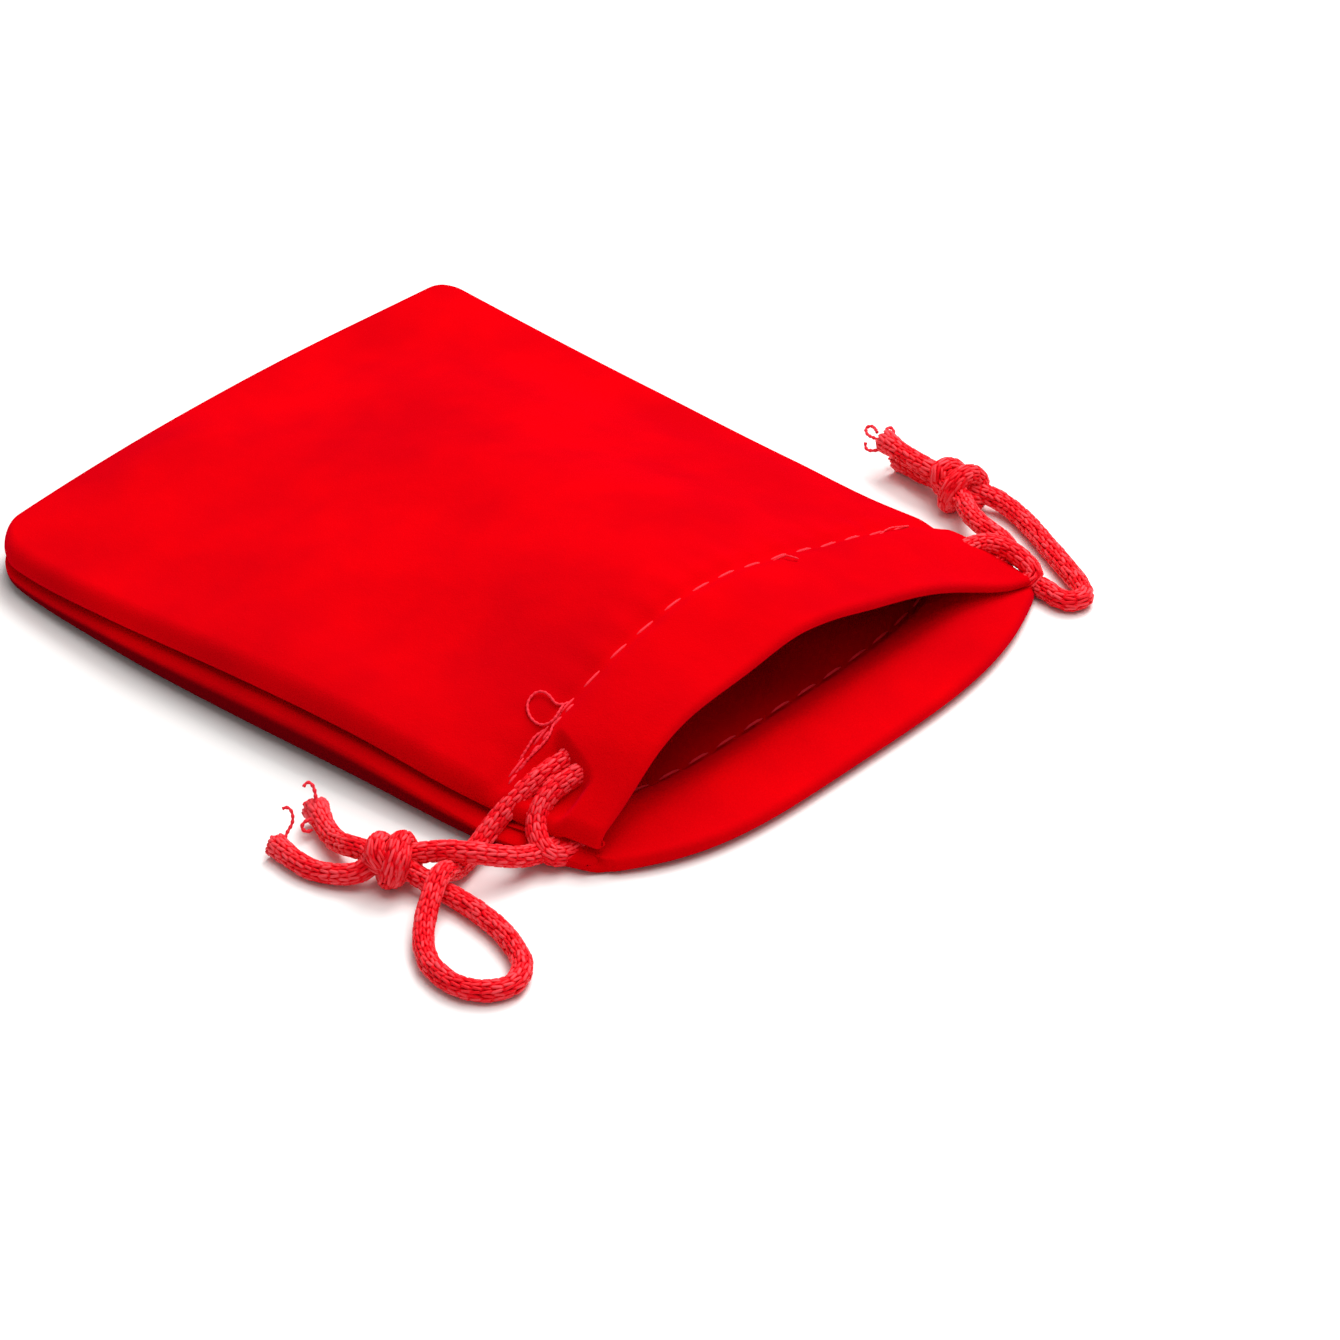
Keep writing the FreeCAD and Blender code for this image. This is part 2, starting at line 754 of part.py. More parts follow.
far_string_back_tail = cord_end(
    "far_string_back_tail",
    [(13.2, 26.1, 2.6), (13.4, 29.6, 2), (13.7, 32.8, 1.7), (14.4, 36.4, 1.6)],
)

# ---------------------------------------------------------------- check and write
doc.recompute()
NODES = [
    front_panel,
    back_panel,
    near_side_stitches,
    far_side_stitches,
    closed_end_stitches,
    front_hem_stitches,
    back_hem_stitches,
    near_string_channel_legs,
    near_string_return_bend,
    near_string_front_end,
    near_string_back_end,
    near_string_knot,
    near_string_front_tail,
    near_string_back_tail,
    far_string_channel_legs,
    far_string_return_bend,
    far_string_front_end,
    far_string_back_end,
    far_string_knot,
    far_string_front_tail,
    far_string_back_tail,
]
for obj in doc.Objects:
    if {"Invalid", "Error"} & set(obj.State):
        raise RuntimeError(f"{obj.Name} is {obj.State}")
os.makedirs("parts", exist_ok=True)
for node in NODES:
    shape = node.Shape
    if shape.isNull() or not shape.isValid() or not shape.Solids:
        raise RuntimeError(f"{node.Name} has no valid shape")
    node.Label = node.Name
    shape.exportStep(os.path.join("parts", f"{node.Label}.step"))
    print(node.Label, "solids", len(shape.Solids), "volume", round(shape.Volume, 1))
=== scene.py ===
"""Looks of the velvet drawstring pouch. Lengths are in metres, in the frame of the CAD part:
+X across the pouch from the near side to the far side, +Y from the mouth to the closed end, +Z up."""
import math

import bpy
import numpy as np
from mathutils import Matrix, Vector


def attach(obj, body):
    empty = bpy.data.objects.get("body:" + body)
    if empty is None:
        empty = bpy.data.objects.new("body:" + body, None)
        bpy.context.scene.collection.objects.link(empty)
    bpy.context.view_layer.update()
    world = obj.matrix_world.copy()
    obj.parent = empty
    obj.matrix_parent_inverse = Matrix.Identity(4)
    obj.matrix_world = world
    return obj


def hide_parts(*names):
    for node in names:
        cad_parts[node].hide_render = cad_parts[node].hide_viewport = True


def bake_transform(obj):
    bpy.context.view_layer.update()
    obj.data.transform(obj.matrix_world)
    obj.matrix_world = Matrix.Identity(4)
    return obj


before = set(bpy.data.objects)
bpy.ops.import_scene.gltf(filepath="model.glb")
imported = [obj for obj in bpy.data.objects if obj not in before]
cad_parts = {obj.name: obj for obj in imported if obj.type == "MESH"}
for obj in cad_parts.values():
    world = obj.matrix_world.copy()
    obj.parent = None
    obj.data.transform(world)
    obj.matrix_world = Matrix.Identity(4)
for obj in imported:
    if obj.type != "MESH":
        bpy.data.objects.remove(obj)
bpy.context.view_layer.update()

# ------------------------------------------------------------------ velvet
# Short-pile polyester velvet, dyed scarlet. Its pile leans a little one way or the other, which shows as soft
# darker and brighter drifts, and glows where the cloth turns away.


def node(tree, kind, **values):
    """A shader node with its properties and its inputs' values set; an input is named with spaces as _."""
    made = tree.nodes.new(kind)
    for name, value in values.items():
        socket = made.inputs.get(name.replace("_", " "))
        if socket is None:
            setattr(made, name, value)
        else:
            socket.default_value = value
    return made


def noise(tree, place, scale, detail=2.0, roughness=0.5):
    """Noise over object coordinates at that scale per metre."""
    made = node(tree, "ShaderNodeTexNoise", Scale=scale, Detail=detail, Roughness=roughness)
    tree.links.new(place.outputs["Object"], made.inputs["Vector"])
    return made.outputs["Fac"]


def between(tree, factor, low, high, to_low, to_high):
    """factor, scaled from low..high to to_low..to_high and clamped."""
    made = node(tree, "ShaderNodeMapRange")
    tree.links.new(factor, made.inputs["Value"])
    for name, value in (("From Min", low), ("From Max", high), ("To Min", to_low), ("To Max", to_high)):
        made.inputs[name].default_value = value
    return made.outputs["Result"]


def mixed(tree, factor, first, second):
    """The colour between first and second by factor; each is a colour or an output."""
    made = node(tree, "ShaderNodeMix", data_type="RGBA")
    tree.links.new(factor, made.inputs["Factor"])
    for name, value in (("A", first), ("B", second)):
        socket = next(s for s in made.inputs if s.name == name and s.type == "RGBA")
        if isinstance(value, tuple):
            socket.default_value = (*value, 1)
        else:
            tree.links.new(value, socket)
    return next(s for s in made.outputs if s.type == "RGBA")


def bumped(tree, shader, *layers):
    """Chains bump nodes from (height output, distance in metres) pairs into the shader's normal."""
    last = None
    for height, distance in layers:
        bump = node(tree, "ShaderNodeBump", Strength=1.0, Distance=distance)
        tree.links.new(height, bump.inputs["Height"])
        if last is not None:
            tree.links.new(last, bump.inputs["Normal"])
        last = bump.outputs["Normal"]
    tree.links.new(last, shader.inputs["Normal"])


def new_material(name):
    """A material with its tree, its Principled shader and its object coordinates."""
    material = bpy.data.materials.new(name)
    material.use_nodes = True
    tree = material.node_tree
    return material, tree, tree.nodes["Principled BSDF"], node(tree, "ShaderNodeTexCoord")


def velvet(name, base, leaning, glow):
    """Matte dyed pile: two tones in drifts, fine grain of fibre tips, a coloured sheen. Down the lower
    panel's side towards the table, a dark red is mixed in as painted shade."""
    material, tree, shader, place = new_material(name)
    drifts = between(tree, noise(tree, place, 42, 3, 0.55), 0.36, 0.66, 0, 1)
    tips = noise(tree, place, 3800, 2, 0.7)
    # Painted shade: this mark darkens the lower panel's side below its widest point.
    painted_dark_side = node(tree, "ShaderNodeAttribute", attribute_name="painted_shade_mask").outputs["Fac"]
    tone = mixed(tree, painted_dark_side, mixed(tree, drifts, base, leaning), PAINTED_SHADE_TONE)
    speck = between(tree, tips, 0.62, 0.8, 0, 0.35)
    tree.links.new(mixed(tree, speck, tone, glow), shader.inputs["Base Color"])
    shader.inputs["Roughness"].default_value = 0.95
    shader.inputs["Specular IOR Level"].default_value = 0.0
    shader.inputs["Sheen Weight"].default_value = 0.22
    shader.inputs["Sheen Roughness"].default_value = 0.45
    shader.inputs["Sheen Tint"].default_value = (1.0, 0.0, 0.06, 1)
    bumped(tree, shader, (noise(tree, place, 420, 3, 0.6), 0.00012), (tips, 0.00006))
    return material


# Dark red painted on the lower panel's side as shade.
PAINTED_SHADE_TONE = (0.13, 0.0, 0.001)
velvet_red = velvet("velvet_red", (0.70, 0.0003, 0.0022), (0.57, 0.0002, 0.0026), (0.88, 0.004, 0.014))

# ------------------------------------------------------------------ front panel
# The upper panel: one piece of velvet, arched over the mouth and sunk towards the closed end. Its edges roll
# under to the seams, and its mouth is turned in and stitched down to make the channel for the strings.


def curve_through(places, values):
    """A smooth function through the pairs: each span is a cubic whose end slopes are its neighbours' mean."""
    places, values = np.array(places, float), np.array(values, float)
    slopes = np.gradient(values, places)

    def curve(at):
        at = np.clip(at, places[0], places[-1])
        span = np.clip(np.searchsorted(places, at, side="right") - 1, 0, len(places) - 2)
        width = places[span + 1] - places[span]
        q = (at - places[span]) / width
        return (
            (2 * q**3 - 3 * q**2 + 1) * values[span]
            + (q**3 - 2 * q**2 + q) * width * slopes[span]
            + (3 * q**2 - 2 * q**3) * values[span + 1]
            + (q**3 - q**2) * width * slopes[span + 1]
        )

    return curve


def quarter_round(reach):
    """Height of a quarter circle at that share of its radius in from its foot: 0 at 0, and 1 from 1 on."""
    return np.sqrt(np.clip(1 - (1 - np.clip(reach, 0, 1)) ** 2, 0, 1))


def ease(share):
    """0 to 1 as share goes from 0 to 1, with level ends."""
    share = np.clip(share, 0, 1)
    return share * share * (3 - 2 * share)


def ridge(distance, width):
    """A soft bump: 1 at distance 0, falling off over that width."""
    return np.exp(-((distance / width) ** 2))


near_reach = curve_through(
    [-0.061, -0.054, -0.047, -0.040, -0.020, 0.005, 0.032, 0.052, 0.0615],
    [0.0465, 0.0485, 0.0508, 0.0520, 0.0534, 0.0549, 0.0558, 0.0547, 0.0528],
)
far_reach = curve_through(
    [-0.061, -0.054, -0.047, -0.040, -0.017, 0.014, 0.043, 0.0615],
    [0.0492, 0.0496, 0.0488, 0.0470, 0.0460, 0.0468, 0.0476, 0.0480],
)
crown_height = curve_through(
    [-0.061, -0.042, -0.020, 0.010, 0.035, 0.052, 0.0615],
    [0.0196, 0.0196, 0.0180, 0.0150, 0.0124, 0.0106, 0.0092],
)
near_seam = curve_through(
    [-0.061, -0.042, -0.015, 0.020, 0.045, 0.0615],
    [0.0030, 0.0050, 0.0068, 0.0060, 0.0042, 0.0032],
)
far_seam = curve_through([-0.061, -0.045, -0.020, 0.035, 0.0615], [0.0014, 0.0024, 0.0030, 0.0030, 0.0036])
# The arch leans to the near side: what it is raised by at the rim, and at the stitches and beyond.
rim_lift = curve_through(
    [-0.052, -0.042, -0.034, -0.014, -0.004, 0.004, 0.015, 0.025, 0.038, 0.047],
    [0.0, 0.0004, 0.0021, 0.0023, 0.0027, 0.0019, 0.0, -0.0015, -0.0015, -0.0008],
)
row_lift = curve_through(
    [-0.052, -0.040, -0.034, -0.022, 0.0, 0.008, 0.020, 0.046],
    [0.0, 0.0, 0.0006, 0.0024, 0.0036, 0.0029, 0.0008, 0.0],
)
MOUTH_Y, CLOSED_Y = -0.060, 0.0612
HEM = 0.016  # from the rim to the row of stitches
UNDER_ROLL, LOWER_ROLL = 0.0016, 0.0009  # radius of each panel's curl in to the seam
SKIRT, CURL = 0.05, math.radians(80)  # share of the half width that curls under, and how far it turns
NEAR_CORNER, FAR_CORNER = 0.0085, 0.0050  # radii of the closed end's corners


def corner_cut(y, radius):
    """How far a quarter circle of that radius at the closed end draws the side in at y."""
    into = np.clip((y - (CLOSED_Y - radius)) / radius, 0, 1)
    return radius * (1 - np.sqrt(np.clip(1 - into**2, 0, 1)))


def outline(across, y, spread=0.0):
    """Side place x for across from -1 to 1 at y, and how far in from the side outline it lies.
    Beyond 1 it curls back in under the edge. Corners at the closed end are quarter circles.
    spread moves the near side out."""
    near, far = near_reach(y) + spread, far_reach(y)
    near, far = near - corner_cut(y, NEAR_CORNER), far - corner_cut(y, FAR_CORNER)
    middle, half = (far - near) / 2, (far + near) / 2
    sine = np.sin(np.clip(across, -1, 1) * math.pi / 2)
    curl = np.clip((np.abs(across) - 1) / SKIRT, 0, 1) * CURL
    x = middle + sine * (half - UNDER_ROLL * (1 - np.cos(curl)))
    inside = half * (1 - np.abs(sine))
    return x, inside, curl


def seam_height(x, y):
    """Height of the seam between the panels, easing from the near side's to the far side's."""
    return near_seam(y) + (far_seam(y) - near_seam(y)) * ease((x + 0.05) / 0.1)


def end_bow(x, y):
    """How far the closed end is pushed out: a shallow bow that starts 4 cm before it."""
    return 0.0018 * (1 - (x / 0.052) ** 2) * ease((y - 0.02) / 0.04)


def soft_folds(x, y):
    """Height of the cloth's slow undulations: a few long waves at different slants."""
    return (
        0.00075 * np.sin(70 * x + 48 * y + 0.6)
        + 0.00055 * np.sin(-95 * x + 62 * y + 2.1)
        + 0.00040 * np.sin(40 * x - 130 * y + 4.0)
        + 0.00020 * np.sin(210 * x + 90 * y + 1.0)
    )


def hem_relief(x, y, edge, settled):
    """Height of the sewn hem over the plain cloth: a groove along the stitches, small puckers beyond it made
    of two waves, and a swell over the string, less a dip beside the slit where the strings come out."""
    from_stitches = y - (MOUTH_Y + HEM)
    pucker = (np.sin(x * 2 * math.pi / 0.0056) + np.sin(x * 2 * math.pi / 0.0131 + 1)) / 2
    groove = 0.0010 * ridge(from_stitches, 0.0016) * edge
    puckers = 0.00022 * pucker * ridge(from_stitches - 0.002, 0.0045) * settled
    swell = 0.0007 * ridge(from_stitches + 0.009, 0.006) * settled
    beyond_slit = ease((-0.0390 - x + 0.25 * (y + 0.046)) / 0.0014) * ease((x + 0.0520) / 0.009)
    beside_strings = ease((y + 0.0555) / 0.0025) * ease((-0.0455 - y) / 0.0025)
    return puckers + swell - groove - 0.0030 * beyond_slit * beside_strings


def front_surface(across, y):
    """Outside of the upper panel. Height is the seam's, plus a quarter-round edge, plus an arch across the
    pouch: a sine of the share of the width, skewed to the near side and raised to a power that fills it out.
    The closed end is rounded too, and lies flatter near its far corner."""
    end_curl = np.clip((y - CLOSED_Y) / SKIRT, 0, 1) * CURL
    y_flat = np.minimum(y, CLOSED_Y)
    x, inside, curl = outline(across, y_flat)
    to_end = CLOSED_Y - y_flat
    roll = 0.0023 - 0.0007 * ease((-0.036 - y_flat) / 0.015)
    edge = quarter_round(inside / roll) * quarter_round(to_end / roll)
    share = np.clip((x + near_reach(y_flat)) / (near_reach(y_flat) + far_reach(y_flat)), 0, 1)
    mouth_part = ease((0.03 - y_flat) / 0.08)
    skew = 0.93 * mouth_part + 0.90 * (1 - mouth_part)
    fullness = 0.95 * mouth_part + (0.72 + 0.20 * ease(share)) * (1 - mouth_part)
    fullness = fullness + 0.42 * ease((share - 0.70) / 0.25) * ease((-0.0495 - y_flat) / 0.010)
    arch = np.clip(np.sin(math.pi * share**skew), 0, 1) ** fullness
    end_fall = quarter_round(to_end / 0.045) ** 0.55
    flat_corner = ridge(np.hypot(x - 0.046, y_flat - 0.058), 0.020)
    base = seam_height(x, y_flat) + UNDER_ROLL
    rise = (crown_height(y_flat) - base - roll) * arch * end_fall * (1 - 0.8 * flat_corner)
    settled = ease(inside / 0.012) * ease(to_end / 0.012)
    z = base + roll * edge + rise + soft_folds(x, y_flat) * settled
    at_rim = ease((-0.046 - y_flat) / 0.013)
    z = z + (rim_lift(x) * at_rim + row_lift(x) * (1 - at_rim)) * ease((0.035 - y_flat) / 0.070)
    z = z + hem_relief(x, y_flat, edge, settled)
    under = UNDER_ROLL * np.maximum(np.sin(curl), np.sin(end_curl))
    y_out = y_flat + end_bow(x, y_flat) - UNDER_ROLL * (1 - np.cos(end_curl)) * (y > CLOSED_Y)
    y_out = y_out - 0.0012 * ease((x - 0.032) / 0.012) * ease((-0.050 - y_flat) / 0.010)
    return np.stack([x, y_out, z - under], axis=-1)


def on_front(x, y, above=0.0):
    """The point of the upper panel's outside at x, y, raised by above."""
    middle, half = (far_reach(y) - near_reach(y)) / 2, (far_reach(y) + near_reach(y)) / 2
    across = np.arcsin(np.clip((x - middle) / half, -1, 1)) * 2 / math.pi
    return front_surface(across, np.asarray(y, float)) + np.array([0, 0, above])


def normals_of(points):
    """Unit normals of a grid of points, from the cross product of its two directions."""
    along, over = np.gradient(points, axis=0), np.gradient(points, axis=1)
    normal = np.cross(along, over)
    return normal / np.maximum(np.linalg.norm(normal, axis=-1, keepdims=True), 1e-12)


CURL_STEPS = SKIRT * np.array([0.33, 0.66, 1.0])
ACROSS = np.concatenate([-1 - CURL_STEPS[::-1], np.linspace(-1, 1, 221), 1 + CURL_STEPS])
FLAT_ROWS = 200


def rows_to_mouth(rim):
    """Rows of y from the closed end's curl to the rim, close together at both ends."""
    share = np.linspace(0, 1, FLAT_ROWS)
    smooth = 0.55 * share + 0.45 * (1 - np.cos(share * math.pi)) / 2
    flat = CLOSED_Y + (rim - CLOSED_Y) * smooth[:, None]
    curls = CLOSED_Y + CURL_STEPS[::-1, None] + 0 * rim
    return np.concatenate([curls, flat])


def folded_cloth(outer, thickness, outside, lip_rows=9):
    """Rows of a closed cloth: down the outside, round the rim's fold, and back up the inside, which lies
    the thickness inward of the outside along its normal. outside is 1 if it faces up, -1 if down."""
    normal = normals_of(outer)
    normal = normal * outside * np.sign(normal[outer.shape[0] // 2, outer.shape[1] // 2, 2])
    inner = outer - normal * thickness[..., None]
    half = (outer[-1] - inner[-1]) / 2
    middle = (outer[-1] + inner[-1]) / 2
    ahead = outer[-1] - outer[-3]
    ahead = ahead - half * (np.sum(ahead * half, axis=1) / np.sum(half * half, axis=1))[:, None]
    ahead = ahead / np.linalg.norm(ahead, axis=1, keepdims=True)
    bulge = ahead * np.linalg.norm(half, axis=1, keepdims=True)
    turns = np.linspace(0, math.pi, lip_rows + 2)[1:-1]
    lip = [middle + half * math.cos(turn) + bulge * math.sin(turn) for turn in turns]
    return np.concatenate([outer, np.stack(lip), inner[::-1]])


def add_piece(name, points, faces, normals=None):
    """A smooth mesh object; its faces are turned outward if the volume they hold comes out negative."""
    corners = points[faces]
    fans = np.cross(corners[:, 1] - corners[:, 0], corners[:, 2] - corners[:, 0])
    volume = np.sum(fans * corners[:, 0])
    if faces.shape[1] == 4:
        fans = np.cross(corners[:, 2] - corners[:, 0], corners[:, 3] - corners[:, 0])
        volume += np.sum(fans * corners[:, 0])
    if volume < 0:
        faces = faces[:, ::-1]
    mesh = bpy.data.meshes.new(name)
    mesh.from_pydata(points.tolist(), [], faces.tolist())
    mesh.polygons.foreach_set("use_smooth", np.ones(len(mesh.polygons), bool))
    mesh.update()
    if normals is not None:
        own = np.zeros(len(points) * 3)
        mesh.vertices.foreach_get("normal", own)
        if np.sum(own.reshape(-1, 3) * normals) < 0:
            normals = -normals
        mesh.normals_split_custom_set_from_vertices(normals.tolist())
    made = bpy.data.objects.new(name, mesh)
    bpy.context.scene.collection.objects.link(made)
    return made


def cloth_half(name, points, columns, painted_shade_mask):
    """A closed mesh from some columns of folded rows, its normals taken from the whole grid, so that two
    halves side by side show no join. Its last argument, from 0 to 1, marks where the outer rows get painted
    shade."""
    normals = normals_of(points)[:, columns].reshape(-1, 3)
    piece = points[:, columns]
    rows, count = piece.shape[:2]
    number = np.arange(rows * count).reshape(rows, count)
    quads = [np.stack([number[:-1, :-1], number[:-1, 1:], number[1:, 1:], number[1:, :-1]], -1)]
    for column, step in ((0, 1), (count - 1, -1)):
        down, back = number[: rows // 2, column], number[::-1, column][: rows // 2]
        quads.append(np.stack([down[:-1], down[1:], back[1:], back[:-1]], -1)[:, ::step])
    quads.append(np.stack([number[0, :-1], number[-1, :-1], number[-1, 1:], number[0, 1:]], -1))
    faces = np.concatenate([quad.reshape(-1, 4) for quad in quads])
    made = add_piece(name, piece.reshape(-1, 3), faces, normals)
    mark = np.zeros((rows, count))
    mark[: len(painted_shade_mask)] = painted_shade_mask[:, columns]
    # Stored as the mark for the velvet's painted shade.
    made.data.attributes.new("painted_shade_mask", "FLOAT", "POINT").data.foreach_set("value", mark.ravel())
    return made


front_rows = rows_to_mouth(np.full(ACROSS.shape, MOUTH_Y))
front_outside = front_surface(ACROSS[None, :] + 0 * front_rows, front_rows)
x, y = front_outside[..., 0], front_outside[..., 1]
inside_edge = outline(ACROSS[None, :] + 0 * front_rows, np.minimum(front_rows, CLOSED_Y))[1]
CLOTH, HEM_PAST = 0.0010, 0.0005  # a panel's thickness, and how far past its stitches the hem reaches
in_hem = ease((MOUTH_Y + HEM + HEM_PAST - y) / 0.003)
round_string = ridge(y - MOUTH_Y - 0.0095, 0.0062)
slack = 0.0030 * ease(inside_edge / 0.012) + 0.0022 * ease(inside_edge / 0.03)
hem_thickness = CLOTH + in_hem * (0.0006 + round_string * slack)
front_cloth = folded_cloth(front_outside, hem_thickness, 1)
CUT = len(ACROSS) // 2
NEAR, FAR = slice(0, CUT + 1), slice(CUT, None)
front_near = cloth_half("front_panel_near", front_cloth, NEAR, 0 * front_rows)
front_far = cloth_half("front_panel_far", front_cloth, FAR, 0 * front_rows)
for piece in (front_near, front_far):
    piece.data.materials.append(velvet_red)
    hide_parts("front_panel")

# ------------------------------------------------------------------ back panel
# The lower panel: the same velvet, flat on the table, its edges lifted a little off it. Its rim reaches
# further out than the front's, because it isn't arched, and it is turned in for the channel too.


def back_rim(x):
    """y of the lower rim at x: a flat-topped bow from corner to corner."""
    near, far = np.clip(-x / 0.0505, 0, 1), np.clip(x / 0.0498, 0, 1)
    return -0.0705 + 0.0135 * near**4.2 + 0.0100 * far**3.2


# The lower panel's near edge lies further out than the upper one's, most at the hem.
near_spread = curve_through(
    [-0.061, -0.050, -0.040, -0.020, 0.010, 0.040, 0.0615],
    [0.0014, 0.0029, 0.0022, 0.0018, 0.0014, 0.0004, 0.0],
)


def back_surface(across, y):
    """Outside of the lower panel: from the seam it rolls under, slopes in to the table and lies flat."""
    end_curl = np.clip((y - CLOSED_Y) / SKIRT, 0, 1) * CURL
    y_flat = np.minimum(y, CLOSED_Y)
    y_side = np.maximum(y_flat, -0.061)
    x, inside, curl = outline(across, y_side, near_spread(y_side))
    x = x + near_spread(y_side) * ease((-1 - across) / SKIRT)
    to_end = CLOSED_Y - y_flat
    roll = 0.0017
    edge = quarter_round(inside / roll) * quarter_round(to_end / roll)
    top = seam_height(x, y_flat) - LOWER_ROLL
    from_edge = np.minimum(inside, to_end)
    slope = 1 - ease(from_edge / 0.0075)
    lip_lift = 0.0007 * ease((-0.050 - y_flat) / 0.02)
    wall = 0.85 * top
    z = (top - wall) * slope + wall * (1 - edge) * slope + lip_lift * (1 - slope)
    over = LOWER_ROLL * np.maximum(np.sin(curl), np.sin(end_curl))
    y_out = y_flat + end_bow(x, y_flat) - UNDER_ROLL * (1 - np.cos(end_curl)) * (y > CLOSED_Y)
    return np.stack([x, y_out, z + over], axis=-1)


across_x = outline(np.clip(ACROSS, -1, 1), np.full(ACROSS.shape, MOUTH_Y), near_spread(MOUTH_Y))[0]
back_rows = rows_to_mouth(back_rim(across_x))
back_outside = back_surface(ACROSS[None, :] + 0 * back_rows, back_rows)
x, y = back_outside[..., 0], back_outside[..., 1]
from_rim = y - back_rim(x)
y_side = np.clip(back_rows, -0.061, CLOSED_Y)
inside_edge = outline(ACROSS[None, :] + 0 * back_rows, y_side, near_spread(y_side))[1]
in_hem = ease((HEM + HEM_PAST - from_rim) / 0.003)
round_string = ridge(from_rim - 0.0085, 0.0066)
slack = 0.0021 + 0.0009 * ease(inside_edge / 0.01)
hem_thickness = CLOTH + in_hem * (0.0010 + round_string * slack)
back_cloth = folded_cloth(back_outside, hem_thickness, -1)
# From just before the rim, round its fold and back along the inside, the cloth stays off the table.
OFF_TABLE = 0.0003
back_cloth[FLAT_ROWS:, :, 2] = np.maximum(back_cloth[FLAT_ROWS:, :, 2], OFF_TABLE)
# Painted shade: from the widest point of the lower panel's side down to the table, away from the rim, the
# colour darkens.
height = back_outside[..., 2] / (seam_height(x, np.minimum(y, CLOSED_Y)) - LOWER_ROLL)
painted_dark_side = ease((1.0 - height) / 0.30) * ease((from_rim - 0.003) / 0.006)
back_near = cloth_half("back_panel_near", back_cloth, NEAR, painted_dark_side)
back_far = cloth_half("back_panel_far", back_cloth, FAR, painted_dark_side)
for piece in (back_near, back_far):
    piece.data.materials.append(velvet_red)
    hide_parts("back_panel")

# ------------------------------------------------------------------ strings
# Two soft knitted cords of bright polyester yarn, 3.2 mm thick, each threaded right round the mouth in the
# channel. Each comes out on its own side, and its two ends are tied together in an overhand knot there.


def read_route(name, places):
    """The line of an open NURBS spline with those control points, read back from a curve with no bevel."""
    curve = bpy.data.curves.new(name, "CURVE")
    curve.dimensions, curve.resolution_u = "3D", 16
    spline = curve.splines.new("NURBS")
    spline.points.add(len(places) - 1)
    for point, place in zip(spline.points, places):
        point.co = (*place, 1)
    spline.order_u, spline.use_endpoint_u = 3, True
    holder = bpy.data.objects.new(name, curve)
    mesh = bpy.data.meshes.new_from_object(holder)
    line = np.array([vertex.co[:] for vertex in mesh.vertices])
    bpy.data.objects.remove(holder)
    bpy.data.meshes.remove(mesh)
    return line


def gone_along(line):
    """Distance from the line's start to each of its points."""
    return np.concatenate([[0], np.cumsum(np.linalg.norm(np.diff(line, axis=0), axis=1))])


def frames_along(line, step=0.00025):
    """Even distances along the line, with the place and two crosswise directions at each. The directions
    are carried along the line without twist."""
    gone = gone_along(line)
    reach = np.linspace(0, gone[-1], int(gone[-1] / step) + 2)
    place = np.stack([np.interp(reach, gone, line[:, axis]) for axis in range(3)], -1)
    ahead = np.gradient(place, axis=0)
    ahead /= np.linalg.norm(ahead, axis=1, keepdims=True)
    side = np.cross(ahead[0], (0.0, 0.0, 1.0))
    sides = []
    for direction in ahead:
        side = side - direction * np.dot(side, direction)
        side = side / np.linalg.norm(side)
        sides.append(side)
    sides = np.array(sides)
    return reach, place, sides, np.cross(sides, ahead)


def at_reach(frames, reach):
    """Place and the two crosswise directions at those distances along."""
    return [
        np.stack([np.interp(reach, frames[0], values[:, axis]) for axis in range(3)], -1)
        for values in frames[1:]
    ]


def ring_faces(rings, sides):
    """Quads of a closed tube of rings with an even number of sides, both ends capped with quads."""
    number = np.arange(rings * sides).reshape(rings, sides)
    turned = np.roll(number, -1, axis=1)
    walls = np.stack([number[:-1], turned[:-1], turned[1:], number[1:]], -1).reshape(-1, 4)
    k = np.arange(sides // 2 - 1)
    cap = np.stack([k, k + 1, sides - 2 - k, sides - 1 - k], -1)
    return np.concatenate([walls, cap[:, ::-1], cap + (rings - 1) * sides])


def tube_points(frames, radius, sides=12, step=0.0004):
    """Rings of a round tube along the frames; radius is a number or a function of the distance."""
    reach = np.linspace(0, frames[0][-1], int(frames[0][-1] / step) + 2)
    place, side, over = at_reach(frames, reach)
    wide = radius(reach) if callable(radius) else np.full(reach.shape, radius)
    turn = np.arange(sides) * 2 * math.pi / sides
    ring = side[:, None] * np.cos(turn)[:, None] + over[:, None] * np.sin(turn)[:, None]
    return (place[:, None] + ring * wide[:, None, None]).reshape(-1, 3), ring_faces(len(reach), sides)


# A loop leg of the knitting, or a stitch: a grain of four six-sided rings, thick in the middle.
GRAIN_ALONG = np.repeat([0.03, 0.30, 0.70, 0.97], 6)
GRAIN_WIDE = np.repeat([0.45, 1.0, 1.0, 0.45], 6) * np.tile(np.cos(np.arange(6) * math.pi / 3), 4)
GRAIN_HIGH = np.repeat([0.45, 1.0, 1.0, 0.45], 6) * np.tile(np.sin(np.arange(6) * math.pi / 3), 4)
GRAIN_FACES = ring_faces(4, 6)

COURSE, WALES = 0.00135, 8  # height of a row of loops, and loops in a row
CORE_RADIUS, LEG_HALF_WIDTH, LEG_BOW = 0.00115, 0.00031, 0.00020
LEG_REACH, LEG_APART, LEG_SLANT = 1.75, 0.05, 0.28  # a leg's length in courses, and its angles round the cord
LEG_RADIUS = 0.0014  # from the cord's middle to a leg's
TWIST = 24  # radians that the loops turn in a metre
FRAYED = 0.004


